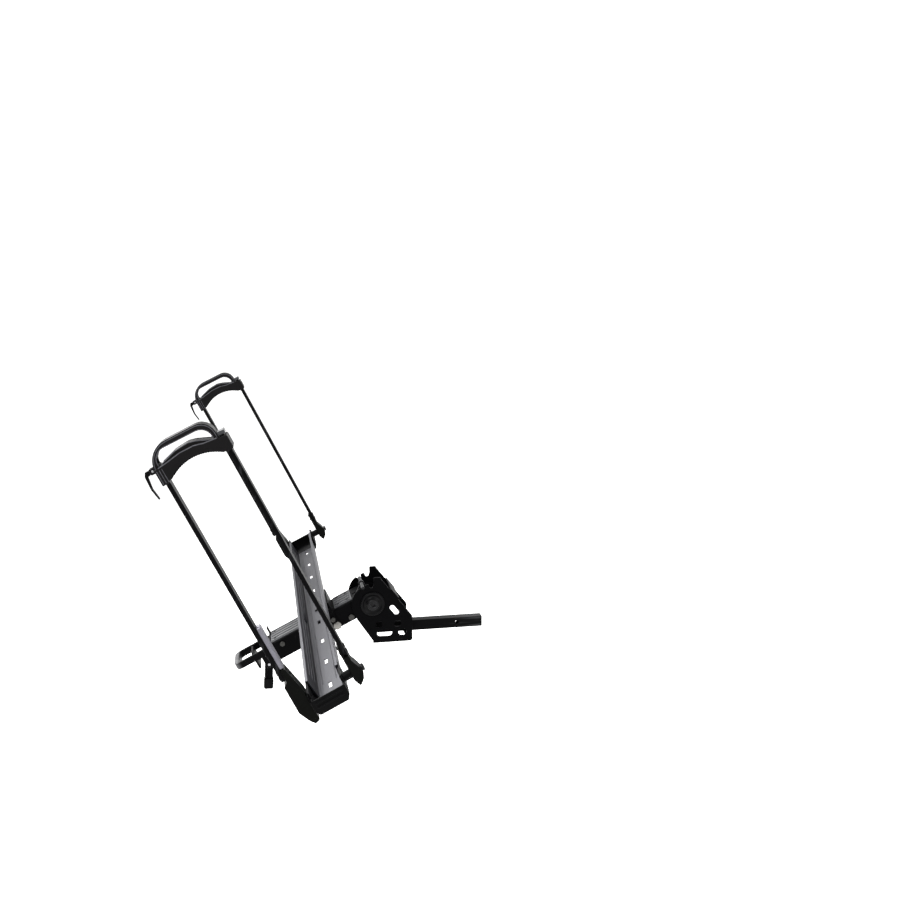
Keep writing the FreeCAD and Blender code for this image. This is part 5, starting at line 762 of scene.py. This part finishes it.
# The arm axles' distance from the tray's middle, and half a bucket's width.
AXLE_OUT, END_HALF = 680, 43
BRIM, BRIM_IN, BRIM_SUNK, BRIM_START, BRIM_STOP = 1.5, 1.2, 0.6, 2, 24
WALL_RIB, WALL_RIB_OUT, WALL_RIB_IN, WALL_RIB_TOP, WALL_RIB_FOOT = 1.3, 27, 0.2, 3, 14
for end, side in ENDS:
    softened(end + "_tray_end", 1.2, moulded_nylon, segments=3)
    low, high = extent(end + "_tray_end", tilted)
    inner, outer = (low.y, high.y) if side > 0 else (high.y, low.y)
    shape = bmesh.new()
    for across in (-1, 1):
        u = TRAY_MIDDLE + across * (END_HALF - BRIM_IN)
        tube(shape, [spot(tilted, u, w, high.z - BRIM_SUNK) for w in
                     (inner + side * BRIM_START, outer - side * BRIM_STOP)], BRIM)
        u = TRAY_MIDDLE + across * (END_HALF - WALL_RIB_IN)
        for out in (AXLE_OUT - WALL_RIB_OUT, AXLE_OUT + WALL_RIB_OUT):
            tube(shape, [spot(tilted, u, side * out, v) for v in
                         (high.z - WALL_RIB_TOP, low.z + WALL_RIB_FOOT)], WALL_RIB)
    fasten(finished(end + "_tray_end_ribs", shape, crease=ROUND_CREASE), moulded_nylon, "carrier",
           "moulded_end")

# Arm axles: four shoulder bolts through the arms' roots into the tray ends' bosses, with low domed heads. The
# two on the bracket's side are longer.
AXLE_HEAD, AXLE_HEAD_HIGH, AXLE_SOCKET, AXLE_SHANK = 9, 5, 8, 5
OUTER_AXLE_LONG, INNER_AXLE_LONG = 30, 54


def facing(along, across, up, way):
    """A frame at a place in mm whose third direction runs along the spine, ahead or back."""
    turned = Matrix(((0, 0, way), (0, 1, 0), (-way, 0, 0))).to_4x4()
    return tilted @ Matrix.Translation(Vector((along, across, up)) * MM) @ turned


axles_low, axles_high = extent("arm_axle_bolts", tilted)
shape = bmesh.new()
for end, side in ENDS:
    for face, way, long in ((axles_low.x, -1, OUTER_AXLE_LONG), (axles_high.x, 1, INNER_AXLE_LONG)):
        place = facing(face - way * AXLE_HEAD_HIGH, side * AXLE_OUT, (axles_low.z + axles_high.z) / 2, way)
        button_head(shape, place, AXLE_HEAD, AXLE_HEAD_HIGH, AXLE_SOCKET)
        lathe(shape, place, [(AXLE_SHANK, -long), (AXLE_SHANK, INTO_HEAD)])
fasten(finished("arm_axle_bolt_set", shape), black_oxide, "carrier", "black_bolt", "arm_axle_bolts")

# Arm roots: sand-cast aluminium knuckles that turn on the axles and hold the feet of the arm's two bars,
# under the same black coat as the bracket.

# The coat fills the casting's 3.5 mm grain to a soft, lumpy skin. Its edges are painted a faint olive in
# 40 mm patches, for wear and as a painted highlight.
cast_coat, tree, shader, where = new_finish("coated_cast_aluminium")
lumps = add(tree, "ShaderNodeTexNoise", {"Vector": where, "Scale": 1 / (3.5 * MM), "Detail": 4.0})
pits = add(tree, "ShaderNodeBump", {"Height": lumps.outputs["Fac"], "Distance": 0.12 * MM, "Strength": 0.7})
patches = add(tree, "ShaderNodeTexNoise", {"Vector": where, "Scale": 1 / (40 * MM), "Detail": 3.0})
edge_wear_and_highlight = add(tree, "ShaderNodeMath", {0: worn_and_highlit_edges(tree, 1.4), 1: patches.outputs["Fac"]},
           operation="MULTIPLY")
colour = add(tree, "ShaderNodeMix", {
    "Factor": edge_wear_and_highlight.outputs["Value"], DARK: linear("080907"), PALE: linear("3a3b37")}, data_type="RGBA")
wire(tree, shader, {"Base Color": colour.outputs[MIXED], "Roughness": 0.42, "IOR": 1.5,
                    "Specular IOR Level": 0.05, "Normal": pits.outputs["Normal"]})
for end, side in ENDS:
    softened(end + "_outer_root", 1.6, cast_coat, segments=3)
    softened(end + "_inner_root", 1.6, cast_coat, segments=3)

# Wheel arms: two flat steel bars bolted on their roots, with an aluminium stiffener beside each outer bar and
# a moulded stop on each inner bar's top. Two button heads hold the foot of each bar.
BOLT_FOOT, BOLT_STEP, BOLT_HEAD, BOLT_HIGH = 8, 14, 7, 3
BOLT_SOCKET, BOLT_SHANK, BOLT_LONG = 5, 4, 17
# The bars' coat is scuffed lengthwise where the hooks slide, and painted grey along its edges, for wear and
# as a painted edge highlight.
slide_coat, tree, shader, where = new_finish("slide_rubbed_powder_coat")
along = add(tree, "ShaderNodeMapping", {"Vector": where, "Scale": per_metre(16.67, 3.846, 55.56)})
scuffs = add(tree, "ShaderNodeTexNoise", {"Vector": along.outputs["Vector"], "Scale": 1.0, "Detail": 6.0})
sharp = add(tree, "ShaderNodeMapRange", {"Value": scuffs.outputs["Fac"], "From Min": 0.56, "From Max": 0.75})
paler_share = add(tree, "ShaderNodeMath", {0: sharp.outputs["Result"], 1: worn_and_highlit_edges(tree, 1.0)},
             operation="MAXIMUM")
faint = add(tree, "ShaderNodeMath", {0: paler_share.outputs["Value"], 1: 0.55}, operation="MULTIPLY")
colour = add(tree, "ShaderNodeMix", {
    "Factor": faint.outputs["Value"], DARK: linear("070708"), PALE: linear("4a4b4e")}, data_type="RGBA")
wire(tree, shader, {"Base Color": colour.outputs[MIXED], "Roughness": 0.38, "IOR": 1.5,
                    "Specular IOR Level": 0.05, "Normal": orange_peel(tree, where, 2.5, 0.04)})
# A satin anodised strip is light grey with a cool tint, and as even as the tray's extrusion.
grey_anodised, tree, shader, where = new_finish("satin_grey_anodised_strip")
along = add(tree, "ShaderNodeMapping", {"Vector": where, "Scale": per_metre(8.333, 2.222, 8.333)})
streaks = add(tree, "ShaderNodeTexNoise", {"Vector": along.outputs["Vector"], "Scale": 1.0, "Detail": 4.0})
colour = add(tree, "ShaderNodeMix", {
    "Factor": streaks.outputs["Fac"], DARK: linear("6d6c74"), PALE: linear("86858d")}, data_type="RGBA")
wire(tree, shader, {"Base Color": colour.outputs[MIXED], "Metallic": 0.8, "Roughness": 0.4})
for end, side in ENDS:
    softened(end + "_outer_bar", 0.9, slide_coat)
    softened(end + "_inner_bar", 0.9, slide_coat)
    softened(end + "_bar_stiffener", 1.6, grey_anodised, segments=3)
    softened(end + "_bar_stop", 0.45, grey_nylon_painted_sky_light)
    outer_bar = extent(end + "_outer_bar", tilted)
    inner_bar = extent(end + "_inner_bar", tilted)
    shape = bmesh.new()
    for face, foot, way in ((outer_bar[0].x, outer_bar[0].z, -1), (inner_bar[1].x, inner_bar[0].z, 1)):
        for step in range(2):
            place = facing(face, side * AXLE_OUT, foot + BOLT_FOOT + step * BOLT_STEP, way)
            button_head(shape, place, BOLT_HEAD, BOLT_HIGH, BOLT_SOCKET)
            lathe(shape, place, [(BOLT_SHANK, -BOLT_LONG), (BOLT_SHANK, INTO_HEAD)])
    fasten(finished(end + "_arm_bolt_set", shape), black_oxide, end + "_arm", "black_bolt",
           end + "_arm_bolts")

# Hooks: moulded holders that slide on both bars, each with a grab hoop, a rounded rim along the edges of its
# crown and its ledges, and a ribbed rubber liner in its arch. A squeeze lever on a steel pin releases it.
HOOK_RISE = 689
# Charcoal nylon is a shade lighter than the tray ends', with a finer grain of 0.7 mm and a satin sheen.
hook_nylon, tree, shader, where = new_finish("satin_charcoal_nylon")
grain = add(tree, "ShaderNodeTexNoise", {"Vector": where, "Scale": 1 / (0.7 * MM), "Detail": 3.0})
pits = add(tree, "ShaderNodeBump", {"Height": grain.outputs["Fac"], "Distance": 0.05 * MM, "Strength": 0.6})
# Its edges are painted paler, for wear and as a painted highlight.
colour = add(tree, "ShaderNodeMix", {
    "Factor": worn_and_highlit_edges(tree, 1.6), DARK: linear("171617"), PALE: linear("3c3b3f")}, data_type="RGBA")
wire(tree, shader, {"Base Color": colour.outputs[MIXED], "Roughness": 0.5, "IOR": 1.53,
                    "Specular IOR Level": 0.06, "Normal": pits.outputs["Normal"]})
# The hook's rims and column ribs are painted grey in 7 mm patches, as the highlight on the edges of its
# crown, ledges and hoop.
rim_nylon_painted_highlight, tree, shader, where = new_finish("grey_nylon_rim_painted_highlight")
rim_highlight_patches = add(tree, "ShaderNodeTexNoise", {"Vector": where, "Scale": 1 / (7 * MM), "Detail": 4.0})
colour = add(tree, "ShaderNodeMix", {
    "Factor": rim_highlight_patches.outputs["Fac"], DARK: linear("3a3a3f"), PALE: linear("6a6a70")}, data_type="RGBA")
wire(tree, shader, {"Base Color": colour.outputs[MIXED], "Roughness": 0.38, "IOR": 1.53,
                    "Specular IOR Level": 0.2})


def arc(middle, radius, start, end, steps=6):
    """Points along a circular arc in mm, between two angles in degrees."""
    turns = [math.radians(start + (end - start) * step / steps) for step in range(steps + 1)]
    return [(middle[0] + radius * math.cos(turn), middle[1] + radius * math.sin(turn)) for turn in turns]


# The rims' lines on the hook's end face, from the tray's middle and the hook's foot: along, up.
HOOP_OUT = [(-81, 17)] + arc((-34, 12), 47, 180, 90) + arc((31, 27), 32, 90, 0) + [(63, 18)]
HOOP_IN = [(-72, 19)] + arc((-51, 24.7), 21, 180, 135, 3) + arc((-46.7, 29), 21, 135, 90, 3)
HOOP_IN += arc((29, 23), 27, 90, 0) + [(56, 19)]
LEDGE = ((-74, 16.2), (-55, 18.5), (-20, 24.8), (12, 24.8), (34, 19.5), (62, 17))
CROWN = ((-64, 20), (-27, 32), (4, 34.7), (20, 30.9), (46, 20))
# Each rim's line, half the depth of what it edges, and its radius.
RIMS = ((LEDGE, 28, 1.3), (CROWN, 20, 1.2), (HOOP_OUT, 20, 1.1), (HOOP_IN, 20, 1.1))
RIM_PROUD = 0.6
COLUMN_RIBS, COLUMN_RIB, COLUMN_HALF, COLUMN_FOOT, COLUMN_TOP = (-80, -74, -68), 0.9, 27.6, -19, 12
ARCH_RADIUS, ARCH_MIDDLE = 100, -97
LINER_RIBS, LINER_SPREAD, LINER_RIB, LINER_HALF, LINER_PROUD = 22, 31, 1.2, 22, 0.2
for end, side in ENDS:
    softened(end + "_hook", 1.0, hook_nylon, segments=3)
    softened(end + "_hook_liner", 0.7, matt_rubber)
    softened(end + "_lever_pin", 0.4, turned_steel)
    softened(end + "_hook_lever", 0.7, moulded_nylon)
    shape = bmesh.new()
    for edge in (-1, 1):
        for line, half, rim in RIMS:
            w = side * AXLE_OUT + edge * (half - rim + RIM_PROUD)
            tube(shape, [spot(tilted, TRAY_MIDDLE + u, w, HOOK_RISE + v) for u, v in line], rim)
        for u in COLUMN_RIBS:
            w = side * AXLE_OUT + edge * COLUMN_HALF
            tube(shape, [spot(tilted, TRAY_MIDDLE + u, w, HOOK_RISE + v) for v in (COLUMN_FOOT, COLUMN_TOP)],
                 COLUMN_RIB)
    fasten(finished(end + "_hook_rims", shape, crease=ROUND_CREASE), rim_nylon_painted_highlight, end + "_holder",
           "moulded_black")
    shape = bmesh.new()
    reach = ARCH_RADIUS + LINER_PROUD
    for step in range(LINER_RIBS):
        turn = math.radians((step / (LINER_RIBS - 1) * 2 - 1) * LINER_SPREAD)
        u = TRAY_MIDDLE + reach * math.sin(turn)
        v = HOOK_RISE + ARCH_MIDDLE + reach * math.cos(turn)
        tube(shape, [spot(tilted, u, side * AXLE_OUT + w, v) for w in (-LINER_HALF, LINER_HALF)], LINER_RIB)
    fasten(finished(end + "_liner_ribs", shape, crease=ROUND_CREASE), matt_rubber, end + "_holder",
           "soft_rubber")
